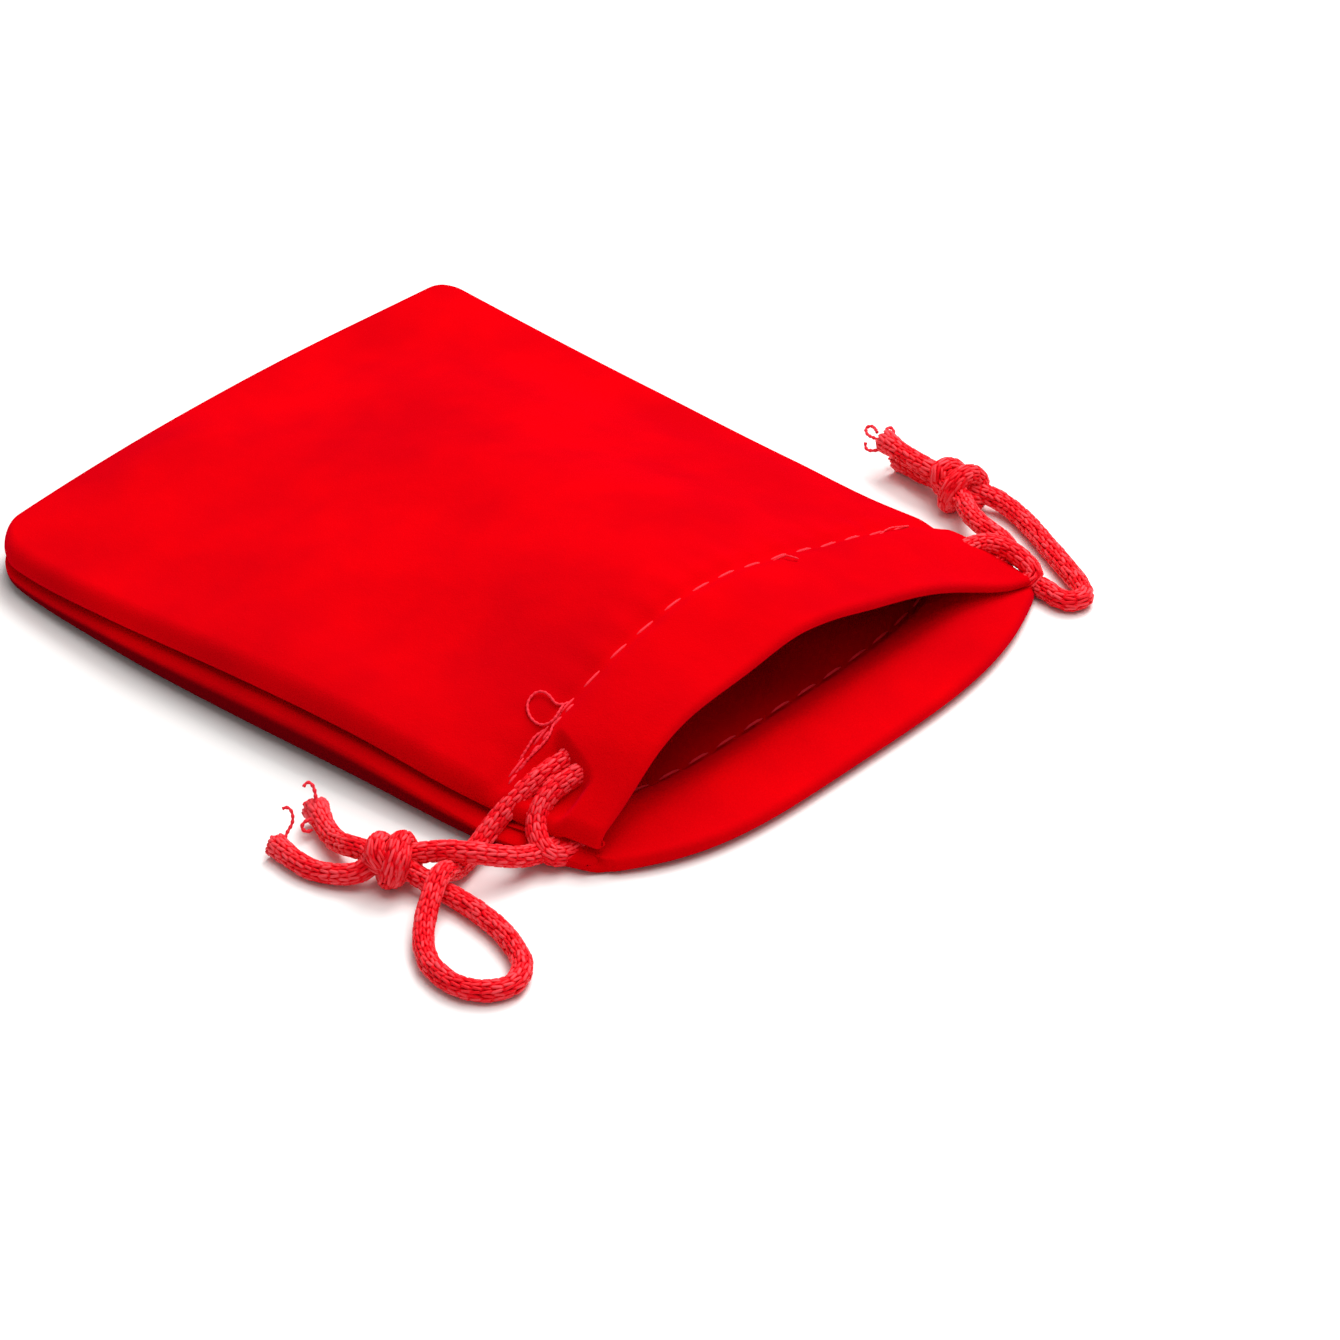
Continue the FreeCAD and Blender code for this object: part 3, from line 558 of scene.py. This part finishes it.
def knitted(name, line, seed, rides=None, replaced=(), loosen=0.0):
    """A knitted cord along the line: a round core, and round it the courses of the knitting, each of eight
    V-shaped loops. A loop's leg is a grain slanted across the cord; it bows outward by LEG_BOW and its ends
    dive under its neighbours. loosen widens the FRAYED end by that share, where it is cut."""
    draws = np.random.default_rng(seed)
    frames = frames_along(line)
    length = frames[0][-1]
    points, faces = tube_points(frames, CORE_RADIUS)
    crest = np.zeros(len(points))
    courses = int(length / COURSE + 0.2)
    course, wale, hand = np.meshgrid(np.arange(courses), np.arange(WALES), [-1, 1], indexing="ij")
    course, wale, hand = course.ravel(), wale.ravel(), hand.ravel()
    start = (course + draws.normal(0, 0.07, course.shape)) * COURSE
    turn = wale * 2 * math.pi / WALES + course * COURSE * TWIST + draws.normal(0, 0.03, course.shape)
    lift = draws.normal(0, 0.00005, course.shape)
    reach = start[:, None] + GRAIN_ALONG * COURSE * LEG_REACH
    angle = turn[:, None] + hand[:, None] * (LEG_APART + LEG_SLANT * GRAIN_ALONG)
    angle = angle + GRAIN_WIDE * LEG_HALF_WIDTH / LEG_RADIUS
    fray = 1 + loosen * ease((reach - length + FRAYED) / FRAYED)
    out = CORE_RADIUS + lift[:, None] + LEG_BOW * np.sin(GRAIN_ALONG * math.pi) + GRAIN_HIGH * LEG_HALF_WIDTH
    out = out * fray
    place, side, over = at_reach(frames, np.clip(reach, 0, length))
    legs = place + out[..., None] * (side * np.cos(angle)[..., None] + over * np.sin(angle)[..., None])
    first = len(points) + np.arange(len(course))[:, None, None] * len(GRAIN_ALONG)
    leg_faces = (GRAIN_FACES[None] + first).reshape(-1, 4)
    # The crest mark is how high a point lies on its loop, plus a random tone per loop; the yarn paints shade
    # low down and a highlight high up from it.
    tone = draws.uniform(-0.18, 0.18, course.shape)
    leg_crest = np.clip((out - CORE_RADIUS) / (LEG_BOW + LEG_HALF_WIDTH) + tone[:, None], 0, 1)
    piece = add_piece(name, np.concatenate([points, legs.reshape(-1, 3)]), np.concatenate([faces, leg_faces]))
    mark = piece.data.attributes.new("crest", "FLOAT", "POINT")
    mark.data.foreach_set("value", np.concatenate([crest, leg_crest.ravel()]))
    piece.data.materials.append(yarn_red)
    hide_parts(*replaced)
    if rides:
        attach(piece, rides)
    return piece, frames[1]


def yarn(name, shade_colour, body, top):
    """Bright yarn: painted shade darkens it between the loops and a painted highlight lightens their crests,
    as the crest mark rises, with a silky shine across the fibres.
    """
    material, tree, shader, place = new_material(name)
    crest = node(tree, "ShaderNodeAttribute", attribute_name="crest").outputs["Fac"]
    body_tone = mixed(tree, between(tree, crest, 0.05, 0.6, 0, 1), shade_colour, body)
    tone = mixed(tree, between(tree, crest, 0.70, 1.0, 0, 0.75), body_tone, top)
    tree.links.new(tone, shader.inputs["Base Color"])
    shader.inputs["Roughness"].default_value = 0.45
    shader.inputs["Specular IOR Level"].default_value = 0.22
    shader.inputs["Specular Tint"].default_value = (1.0, 0.35, 0.4, 1)
    bumped(tree, shader, (noise(tree, place, 5200, 2, 0.6), 0.00005))
    return material


# Colours: painted shade between the loops, the yarn's own red, and a painted highlight on the crests.
yarn_red = yarn("yarn_red", (0.46, 0.0, 0.003), (0.90, 0.0020, 0.010), (0.96, 0.090, 0.110))


def through_knot(centre, heading, first, shift, wide=0.0029):
    """Control points of a strand inside an overhand knot: in along the axis, once round the outside on
    the way back, and out along the axis under its own turn. first is the angle where the turn starts."""
    along = np.array([-0.4, 1.6, *np.linspace(2.5, -1.5, 9), -1.2, 0.8, 3.0]) * 0.001
    along[1:12] += shift
    out = np.array([1.0, 1.6, *[wide * 1000] * 9, 1.6, 0.9, 1.2]) * 0.001
    turn = math.radians(first) + np.radians([-60, -35, *np.linspace(0, 360, 9), 395, 470, 480])
    axis = np.array([math.cos(math.radians(heading)), math.sin(math.radians(heading)), 0])
    left = np.array([-axis[1], axis[0], 0])
    up = np.array([0, 0, 0.93])
    spread = left * np.cos(turn)[:, None] + up * np.sin(turn)[:, None]
    return [tuple(p) for p in np.array(centre) + axis * along[:, None] + spread * out[:, None]]


NEAR_KNOT, FAR_KNOT = (-0.0676, -0.0412, 0.0044), (0.0600, -0.0378, 0.0039)
NEAR_HEADING, FAR_HEADING = 132, 96  # degrees from +X that the strands point as they leave each knot
near_front_line = read_route(
    "near_front_route",
    [
        (-0.0125, -0.0490, 0.0166),
        (-0.0210, -0.0490, 0.0156),
        (-0.0310, -0.0490, 0.0142),
        (-0.0396, -0.0488, 0.0110),
        (-0.0440, -0.0477, 0.0100),
        (-0.0484, -0.0464, 0.0076),
        (-0.0528, -0.0458, 0.0046),
        (-0.0566, -0.0458, 0.0022),
        (-0.0602, -0.0465, 0.0017),
        (-0.0630, -0.0474, 0.0030),
        (-0.0656, -0.0484, 0.0050),
        (-0.0688, -0.0498, 0.0049),
        (-0.0730, -0.0520, 0.0027),
        (-0.0773, -0.0556, 0.0017),
        (-0.0803, -0.0610, 0.0017),
        (-0.0802, -0.0672, 0.0017),
        (-0.0760, -0.0712, 0.0017),
        (-0.0710, -0.0696, 0.0017),
        (-0.0680, -0.0644, 0.0017),
        (-0.0664, -0.0586, 0.0017),
        (-0.0658, -0.0528, 0.0017),
        (-0.0661, -0.0482, 0.0018),
        (-0.0666, -0.0446, 0.0026),
        *through_knot(NEAR_KNOT, NEAR_HEADING, 60, 0.0006),
        (-0.0714, -0.0385, 0.0030),
        (-0.0731, -0.0360, 0.0021),
        (-0.0746, -0.0327, 0.0017),
        (-0.0752, -0.0287, 0.0017),
        (-0.0742, -0.0234, 0.0017),
    ],
)
near_string_front, near_front_path = knitted(
    "near_string_front",
    near_front_line,
    1,
    replaced=["near_string_front_end", "near_string_knot", "near_string_front_tail"],
    loosen=0.16,
)
near_back_line = read_route(
    "near_back_route",
    [
        (-0.0240, -0.0598, 0.0029),
        (-0.0340, -0.0578, 0.0029),
        (-0.0440, -0.0544, 0.0028),
        (-0.0500, -0.0536, 0.0026),
        (-0.0540, -0.0534, 0.0034),
        (-0.0575, -0.0518, 0.0048),
        (-0.0604, -0.0490, 0.0056),
        (-0.0630, -0.0454, 0.0056),
        *through_knot(NEAR_KNOT, NEAR_HEADING, 240, -0.0006, 0.0031),
        (-0.0690, -0.0374, 0.0047),
        (-0.0693, -0.0340, 0.0040),
        (-0.0686, -0.0307, 0.0026),
        (-0.0673, -0.0269, 0.0020),
        (-0.0650, -0.0222, 0.0028),
    ],
)
near_string_back, near_back_path = knitted(
    "near_string_back",
    near_back_line,
    2,
    replaced=["near_string_back_end", "near_string_knot", "near_string_back_tail"],
    loosen=0.30,
)
far_front_line = read_route(
    "far_front_route",
    [
        (0.0200, -0.0500, 0.0116),
        (0.0300, -0.0502, 0.0092),
        (0.0390, -0.0512, 0.0068),
        (0.0450, -0.0536, 0.0040),
        (0.0490, -0.0556, 0.0032),
        (0.0514, -0.0554, 0.0042),
        (0.0523, -0.0524, 0.0050),
        (0.0528, -0.0490, 0.0050),
        (0.0544, -0.0446, 0.0048),
        (0.0572, -0.0410, 0.0042),
        *through_knot(FAR_KNOT, FAR_HEADING, 60, 0.0009),
        (0.0594, -0.0330, 0.0052),
        (0.0594, -0.0300, 0.0054),
        (0.0598, -0.0262, 0.0054),
        (0.0606, -0.0216, 0.0056),
    ],
)
far_string_front, far_front_path = knitted(
    "far_string_front",
    far_front_line,
    3,
    replaced=["far_string_front_end", "far_string_knot", "far_string_front_tail"],
    loosen=0.25,
)
far_back_line = read_route(
    "far_back_route",
    [
        (0.0220, -0.0624, 0.0029),
        (0.0330, -0.0604, 0.0028),
        (0.0420, -0.0582, 0.0026),
        (0.0470, -0.0586, 0.0022),
        (0.0500, -0.0606, 0.0019),
        (0.0499, -0.0638, 0.0017),
        (0.0493, -0.0676, 0.0017),
        (0.0520, -0.0696, 0.0017),
        (0.0548, -0.0660, 0.0017),
        (0.0572, -0.0606, 0.0017),
        (0.0597, -0.0552, 0.0017),
        (0.0618, -0.0506, 0.0017),
        (0.0636, -0.0452, 0.0018),
        (0.0632, -0.0416, 0.0026),
        *through_knot(FAR_KNOT, FAR_HEADING, 240, -0.0009, 0.0031),
        (0.0614, -0.0336, 0.0026),
        (0.0614, -0.0304, 0.0021),
        (0.0617, -0.0272, 0.0020),
        (0.0624, -0.0236, 0.0021),
    ],
)
far_string_back, far_back_path = knitted(
    "far_string_back",
    far_back_line,
    4,
    replaced=["far_string_back_end", "far_string_knot", "far_string_back_tail"],
    loosen=0.30,
)
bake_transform(near_string_front)
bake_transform(near_string_back)
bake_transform(far_string_front)
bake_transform(far_string_back)

# Where a string turns from the front channel into the back one, it shows outside the mouth's corner.
knitted(
    "far_string_bend_near",
    read_route(
        "near_bight_route",
        [
            (-0.0300, -0.0526, 0.0142),
            (-0.0350, -0.0526, 0.0130),
            (-0.0392, -0.0524, 0.0108),
            (-0.0434, -0.0507, 0.0096),
            (-0.0468, -0.0500, 0.0078),
            (-0.0492, -0.0508, 0.0056),
            (-0.0508, -0.0530, 0.0042),
            (-0.0510, -0.0550, 0.0029),
            (-0.0488, -0.0562, 0.0023),
            (-0.0440, -0.0568, 0.0026),
            (-0.0400, -0.0588, 0.0028),
        ],
    ),
    5,
    rides="far_string_bend",
    replaced=["far_string_return_bend"],
)
knitted(
    "near_string_bend_far",
    read_route(
        "far_bight_route",
        [
            (0.0380, -0.0520, 0.0072),
            (0.0446, -0.0508, 0.0056),
            (0.0486, -0.0518, 0.0058),
            (0.0500, -0.0550, 0.0058),
            (0.0504, -0.0586, 0.0048),
            (0.0502, -0.0614, 0.0032),
            (0.0480, -0.0604, 0.0022),
            (0.0430, -0.0576, 0.0026),
        ],
    ),
    6,
    rides="near_string_bend",
    replaced=["near_string_return_bend"],
)

# In the channel the strings lie unseen between the layers of the hem, so these lengths are plain tubes.
HIDDEN_RADIUS = 0.0015
for whose, hand, where, places in (
    (
        "near",
        1,
        "channel",
        [
            (-0.014, -0.0490, 0.0165),
            (-0.004, -0.0490, 0.0166),
            (0.012, -0.0492, 0.0150),
            (0.030, -0.0496, 0.0098),
            (0.040, -0.0520, 0.0068),
        ],
    ),
    (
        "far",
        -1,
        "channel",
        [
            (-0.034, -0.0526, 0.0134),
            (-0.012, -0.0526, 0.0166),
            (0.004, -0.0524, 0.0160),
            (0.012, -0.0520, 0.0146),
            (0.020, -0.0510, 0.0120),
        ],
    ),
    (
        "near",
        1,
        "channel_below",
        [
            (-0.024, -0.0592, 0.0029),
            (-0.010, -0.0604, 0.0030),
            (0.010, -0.0604, 0.0030),
            (0.030, -0.0588, 0.0029),
            (0.042, -0.0566, 0.0027),
        ],
    ),
    (
        "far",
        -1,
        "channel_below",
        [
            (-0.042, -0.0580, 0.0029),
            (-0.022, -0.0632, 0.0030),
            (0.0, -0.0641, 0.0030),
            (0.012, -0.0637, 0.0030),
            (0.022, -0.0628, 0.0030),
        ],
    ),
):
    name = f"{whose}_string_{where}"
    points, faces = tube_points(frames_along(read_route(name, places)), HIDDEN_RADIUS, step=0.001)
    piece = add_piece(name, points, faces)
    piece.data.materials.append(yarn_red)
    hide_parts(f"{whose}_string_channel_legs")
    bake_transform(piece)

# ------------------------------------------------------------------ stitches
# Lockstitching in a slightly lighter thread: a row that holds each hem down, and the seams round the other
# three sides, which show only in the groove between the panels. The front row is sewn double at its start.


def beside(apart, row_at):
    """Three neighbouring rows of points: row_at a shift of that much back, none, and that much on."""
    return np.stack([row_at(shift) for shift in (-apart, 0, apart)])


def stitch_row(name, lines, starts, length, replaced):
    """Stitches along a line of points: lines holds three neighbouring rows of the cloth's surface, and the
    middle one is followed. Each stitch is a grain that rises from the cloth and dives back in."""
    line, up = lines[1], normals_of(lines)[1]
    up = up * np.sign(up[len(up) // 2, 2])
    ahead = np.gradient(line, axis=0)
    side = np.cross(up, ahead)
    side /= np.linalg.norm(side, axis=1, keepdims=True)
    place, side, over = at_reach((gone_along(line), line, side, up), starts[:, None] + GRAIN_ALONG * length)
    rise = THREAD_HALF * (1.1 * np.sin(GRAIN_ALONG * math.pi) ** 0.6 - 0.8 + GRAIN_HIGH)
    points = place + side * (GRAIN_WIDE * THREAD_HALF)[:, None] + over * rise[:, None]
    faces = (GRAIN_FACES[None] + np.arange(len(starts))[:, None, None] * len(GRAIN_ALONG)).reshape(-1, 4)
    piece = add_piece(name, points.reshape(-1, 3), faces)
    piece.data.materials.append(thread_red)
    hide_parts(replaced)
    return piece


def split_rows(name, lines, starts, middle):
    """A hem's row as two pieces, near and far, each with the stitches on its half of the cloth."""
    rows = {}
    for side, chosen in (("near", starts < middle - STITCH), ("far", starts >= middle - STITCH)):
        rows[side] = stitch_row(f"{name}_{side}", lines, starts[chosen], STITCH, name)
    return rows


thread_red = yarn("thread_red", (0.90, 0.03, 0.05), (0.90, 0.03, 0.05), (0.98, 0.09, 0.12))

STITCH, PITCH, THREAD_HALF = 0.0043, 0.0059, 0.00022
draws = np.random.default_rng(7)
row_x = np.linspace(-0.0500, 0.0455, 600)


def front_hem_rows(shift):
    """Three neighbouring rows of the front along its stitches, moved towards the closed end by shift."""
    stitch_y = MOUTH_Y + HEM + shift
    return beside(0.0004, lambda step: on_front(row_x, np.full(row_x.shape, stitch_y + step)))


row_gone = gone_along(front_hem_rows(0)[1])
starts = np.arange(0.0025, row_gone[-1] - 0.005, PITCH)
starts = starts + draws.normal(0, 0.0002, starts.shape)
front_stitches = split_rows("front_hem_stitches", front_hem_rows(0), starts, np.interp(0, row_x, row_gone))
again = np.arange(0.0018, 0.016, 0.0027)
backstitches = stitch_row(
    "front_hem_backstitches", front_hem_rows(-0.0008), again, 0.0021, "front_hem_stitches"
)

# The lower hem's row, on the inside of the lower panel, where it shows through the mouth.
below_x = np.linspace(-0.0490, 0.0475, 400)
INSIDE_HEIGHT = np.full(below_x.shape, 0.0023)
below = beside(0.0004, lambda step: np.stack([below_x, back_rim(below_x) + HEM + step, INSIDE_HEIGHT], -1))
below_gone = gone_along(below[1])
starts = np.arange(0.002, below_gone[-1] - 0.005, PITCH)
back_stitches = split_rows("back_hem_stitches", below, starts, np.interp(0, below_x, below_gone))

# The seams, set back in the groove between the rolled edges.
SEAM_INSET, SEAM_STITCH, SEAM_PITCH = 0.0024, 0.0024, 0.0032
seam_y = np.linspace(-0.058, 0.054, 400)
seam_pieces = []
for side, hand, reach_of in (("near", -1, near_reach), ("far", 1, far_reach)):
    seam_x = hand * (reach_of(seam_y) - SEAM_INSET)
    seam_z = seam_height(seam_x, seam_y)
    rows = beside(0.0003, lambda step: np.stack([seam_x + step, seam_y, seam_z], -1))
    starts = np.arange(0.001, gone_along(rows[1])[-1] - 0.003, SEAM_PITCH)
    name = f"{side}_side_stitches"
    seam_pieces.append(stitch_row(name, rows, starts, SEAM_STITCH, name))
end_x = np.linspace(-0.044, 0.040, 300)
end_y = CLOSED_Y - SEAM_INSET + end_bow(end_x, CLOSED_Y)
end_z = seam_height(end_x, CLOSED_Y)
rows = beside(0.0003, lambda step: np.stack([end_x, end_y + step, end_z], -1))
starts = np.arange(0.001, 0.081, SEAM_PITCH)
end_piece = stitch_row("closed_end_stitches", rows, starts, SEAM_STITCH, "closed_end_stitches")
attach(end_piece, "pouch")

# Loose thread: where the front row starts, the sewing was finished off with a curl and two short ends, and
# two more ends stick out of the row further along.


def threads(name, routes, radius, rides=None):
    """Some loose threads in one piece: thin tubes along routes. The radius swells and sinks in a wave of
    PLY's length, as a two-ply thread does."""

    def plied(reach):
        return radius * (1 + 0.22 * np.sin(reach * 2 * math.pi / PLY))

    points, faces, count = [], [], 0
    for number, places in enumerate(routes):
        line = read_route(f"{name}_{number}", places)
        tube, quads = tube_points(frames_along(line, 0.00008), plied, sides=6, step=0.00016)
        points.append(tube)
        faces.append(quads + count)
        count += len(tube)
    piece = add_piece(name, np.concatenate(points), np.concatenate(faces))
    piece.data.materials.append(thread_red)
    if rides:
        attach(piece, rides)
    return piece


def over_front(*places):
    """Points above the front's outside, from x, y and the height above it."""
    return [tuple(on_front(x, y, above)) for x, y, above in places]


PLY, LOOSE_YARN = 0.0008, 0.00026
thread_curl = threads(
    "front_thread_end",
    [
        over_front(
            (-0.0340, -0.0440, -0.0002),
            (-0.0366, -0.0436, 0.0004),
            (-0.0362, -0.0412, 0.0008),
            (-0.0368, -0.0394, 0.0006),
            (-0.0388, -0.0394, 0.0004),
            (-0.0402, -0.0412, 0.0003),
            (-0.0400, -0.0432, 0.0003),
            (-0.0388, -0.0446, 0.0006),
            (-0.0366, -0.0442, 0.0009),
            (-0.0354, -0.0436, 0.0002),
        ),
        over_front(
            (-0.0366, -0.0442, -0.0002),
            (-0.0388, -0.0446, 0.0003),
            (-0.0406, -0.0457, 0.0004),
            (-0.0426, -0.0455, 0.0003),
            (-0.0446, -0.0448, 0.0003),
            (-0.0468, -0.0444, -0.0003),
        ),
        over_front(
            (-0.0392, -0.0440, -0.0003),
            (-0.0412, -0.0434, 0.0003),
            (-0.0430, -0.0437, 0.0003),
            (-0.0450, -0.0436, -0.0003),
        ),
    ],
    0.00020,
)
stray_ends = threads(
    "front_thread_ends_far",
    [
        over_front(
            (0.0085, -0.0446, -0.0002),
            (0.0098, -0.0458, 0.0005),
            (0.0094, -0.0472, 0.0008),
            (0.0104, -0.0480, 0.0004),
        ),
        over_front(
            (0.0330, -0.0446, -0.0002),
            (0.0352, -0.0440, 0.0005),
            (0.0380, -0.0446, 0.0005),
            (0.0404, -0.0440, 0.0002),
        ),
    ],
    0.00013,
)

# The cut ends are neither sealed nor tied, so a few yarns have worked loose from each.
near_fray = threads(
    "near_string_loose_yarns",
    [
        [
            (-0.0738, -0.0246, 0.0024),
            (-0.0726, -0.0240, 0.0032),
            (-0.0712, -0.0240, 0.0042),
            (-0.0707, -0.0235, 0.0056),
            (-0.0708, -0.0226, 0.0063),
            (-0.0713, -0.0221, 0.0059),
        ],
        [
            (-0.0662, -0.0238, 0.0030),
            (-0.0658, -0.0232, 0.0042),
            (-0.0652, -0.0226, 0.0055),
            (-0.0648, -0.0216, 0.0066),
            (-0.0652, -0.0207, 0.0067),
            (-0.0658, -0.0208, 0.0061),
        ],
        [
            (-0.0668, -0.0246, 0.0030),
            (-0.0680, -0.0236, 0.0030),
            (-0.0692, -0.0234, 0.0022),
            (-0.0690, -0.0243, 0.0014),
            (-0.0680, -0.0246, 0.0016),
        ],
        [
            (-0.0652, -0.0236, 0.0030),
            (-0.0646, -0.0222, 0.0036),
            (-0.0652, -0.0212, 0.0038),
            (-0.0664, -0.0212, 0.0034),
        ],
        [
            (-0.0742, -0.0246, 0.0018),
            (-0.0745, -0.0232, 0.0024),
            (-0.0741, -0.0222, 0.0026),
            (-0.0733, -0.0224, 0.0020),
        ],
    ],
    LOOSE_YARN,
    "near_string_ends",
)
far_fray = threads(
    "far_string_loose_yarns",
    [
        [
            (0.0602, -0.0228, 0.0056),
            (0.0599, -0.0205, 0.0056),
            (0.0601, -0.0186, 0.0054),
            (0.0612, -0.0175, 0.0058),
            (0.0617, -0.0188, 0.0064),
            (0.0603, -0.0206, 0.0066),
        ],
        [
            (0.0604, -0.0236, 0.0060),
            (0.0610, -0.0218, 0.0068),
            (0.0620, -0.0214, 0.0072),
            (0.0626, -0.0222, 0.0067),
            (0.0614, -0.0232, 0.0062),
        ],
        [
            (0.0598, -0.0230, 0.0048),
            (0.0586, -0.0212, 0.0041),
            (0.0582, -0.0199, 0.0042),
            (0.0588, -0.0196, 0.0050),
        ],
        [
            (0.0624, -0.0250, 0.0020),
            (0.0632, -0.0232, 0.0024),
            (0.0628, -0.0218, 0.0020),
            (0.0618, -0.0220, 0.0014),
        ],
    ],
    LOOSE_YARN,
    "far_string_ends",
)

# ------------------------------------------------------------------ the cloth's halves
# The near and far halves of the cloth, and the stitches and threads on each, have their placement baked
# into their meshes.
for piece in (
    front_near,
    back_near,
    front_stitches["near"],
    backstitches,
    thread_curl,
    back_stitches["near"],
    seam_pieces[0],
):
    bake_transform(piece)
for piece in (front_far, back_far, front_stitches["far"], stray_ends, back_stitches["far"], seam_pieces[1]):
    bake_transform(piece)

# ------------------------------------------------------------------ table, light and camera
# A white table under a large soft light from the far side and a weaker one nearly overhead, in a studio whose
# walls read as white to the camera but light the pouch only a little, so that the shadows stay.
bpy.ops.mesh.primitive_plane_add(size=6)
table = bpy.context.object
table.name = "table"
white, tree, shader, place = new_material("white_table")
shader.inputs["Base Color"].default_value = (0.93, 0.93, 0.915, 1)
shader.inputs["Roughness"].default_value = 0.7
shader.inputs["Specular IOR Level"].default_value = 0.2
table.data.materials.append(white)

world = bpy.data.worlds.new("studio")
bpy.context.scene.world = world
world.use_nodes = True
tree = world.node_tree
shown = node(tree, "ShaderNodeBackground", Color=(0.98, 0.98, 0.955, 1), Strength=1.0)
lit = node(tree, "ShaderNodeBackground", Color=(1, 1, 1, 1), Strength=0.32)
ray = node(tree, "ShaderNodeLightPath")
choose = node(tree, "ShaderNodeMixShader")
tree.links.new(ray.outputs["Is Camera Ray"], choose.inputs["Fac"])
tree.links.new(lit.outputs["Background"], choose.inputs[1])
tree.links.new(shown.outputs["Background"], choose.inputs[2])
tree.links.new(choose.outputs["Shader"], tree.nodes["World Output"].inputs["Surface"])


def soft_light(name, place, size, watts):
    """A square area light at place, turned to the origin."""
    light = bpy.data.lights.new(name, "AREA")
    light.size, light.energy = size, watts
    made = bpy.data.objects.new(name, light)
    made.location = place
    made.rotation_euler = (-Vector(place)).to_track_quat("-Z", "Y").to_euler()
    bpy.context.scene.collection.objects.link(made)


soft_light("key", (0.58, 0.14, 0.86), 0.55, 8.6)
soft_light("overhead", (0.08, -0.22, 1.0), 0.8, 6.8)

AZIMUTH, ELEVATION, DISTANCE = math.radians(-47.62), math.radians(34.99), 0.9
AIM = Vector((-0.0023, -0.0340, 0))
back = Vector(
    (
        math.sin(AZIMUTH) * math.cos(ELEVATION),
        -math.cos(AZIMUTH) * math.cos(ELEVATION),
        math.sin(ELEVATION),
    )
)
camera = bpy.data.cameras.new("camera")
camera.sensor_width, camera.lens = 36, 162.1
camera.clip_start, camera.clip_end = 0.05, 20
eye = bpy.data.objects.new("camera", camera)
eye.location = AIM + back * DISTANCE
eye.rotation_euler = back.to_track_quat("Z", "Y").to_euler()
bpy.context.scene.collection.objects.link(eye)
bpy.context.scene.camera = eye
bpy.context.scene.view_settings.view_transform = "Standard"
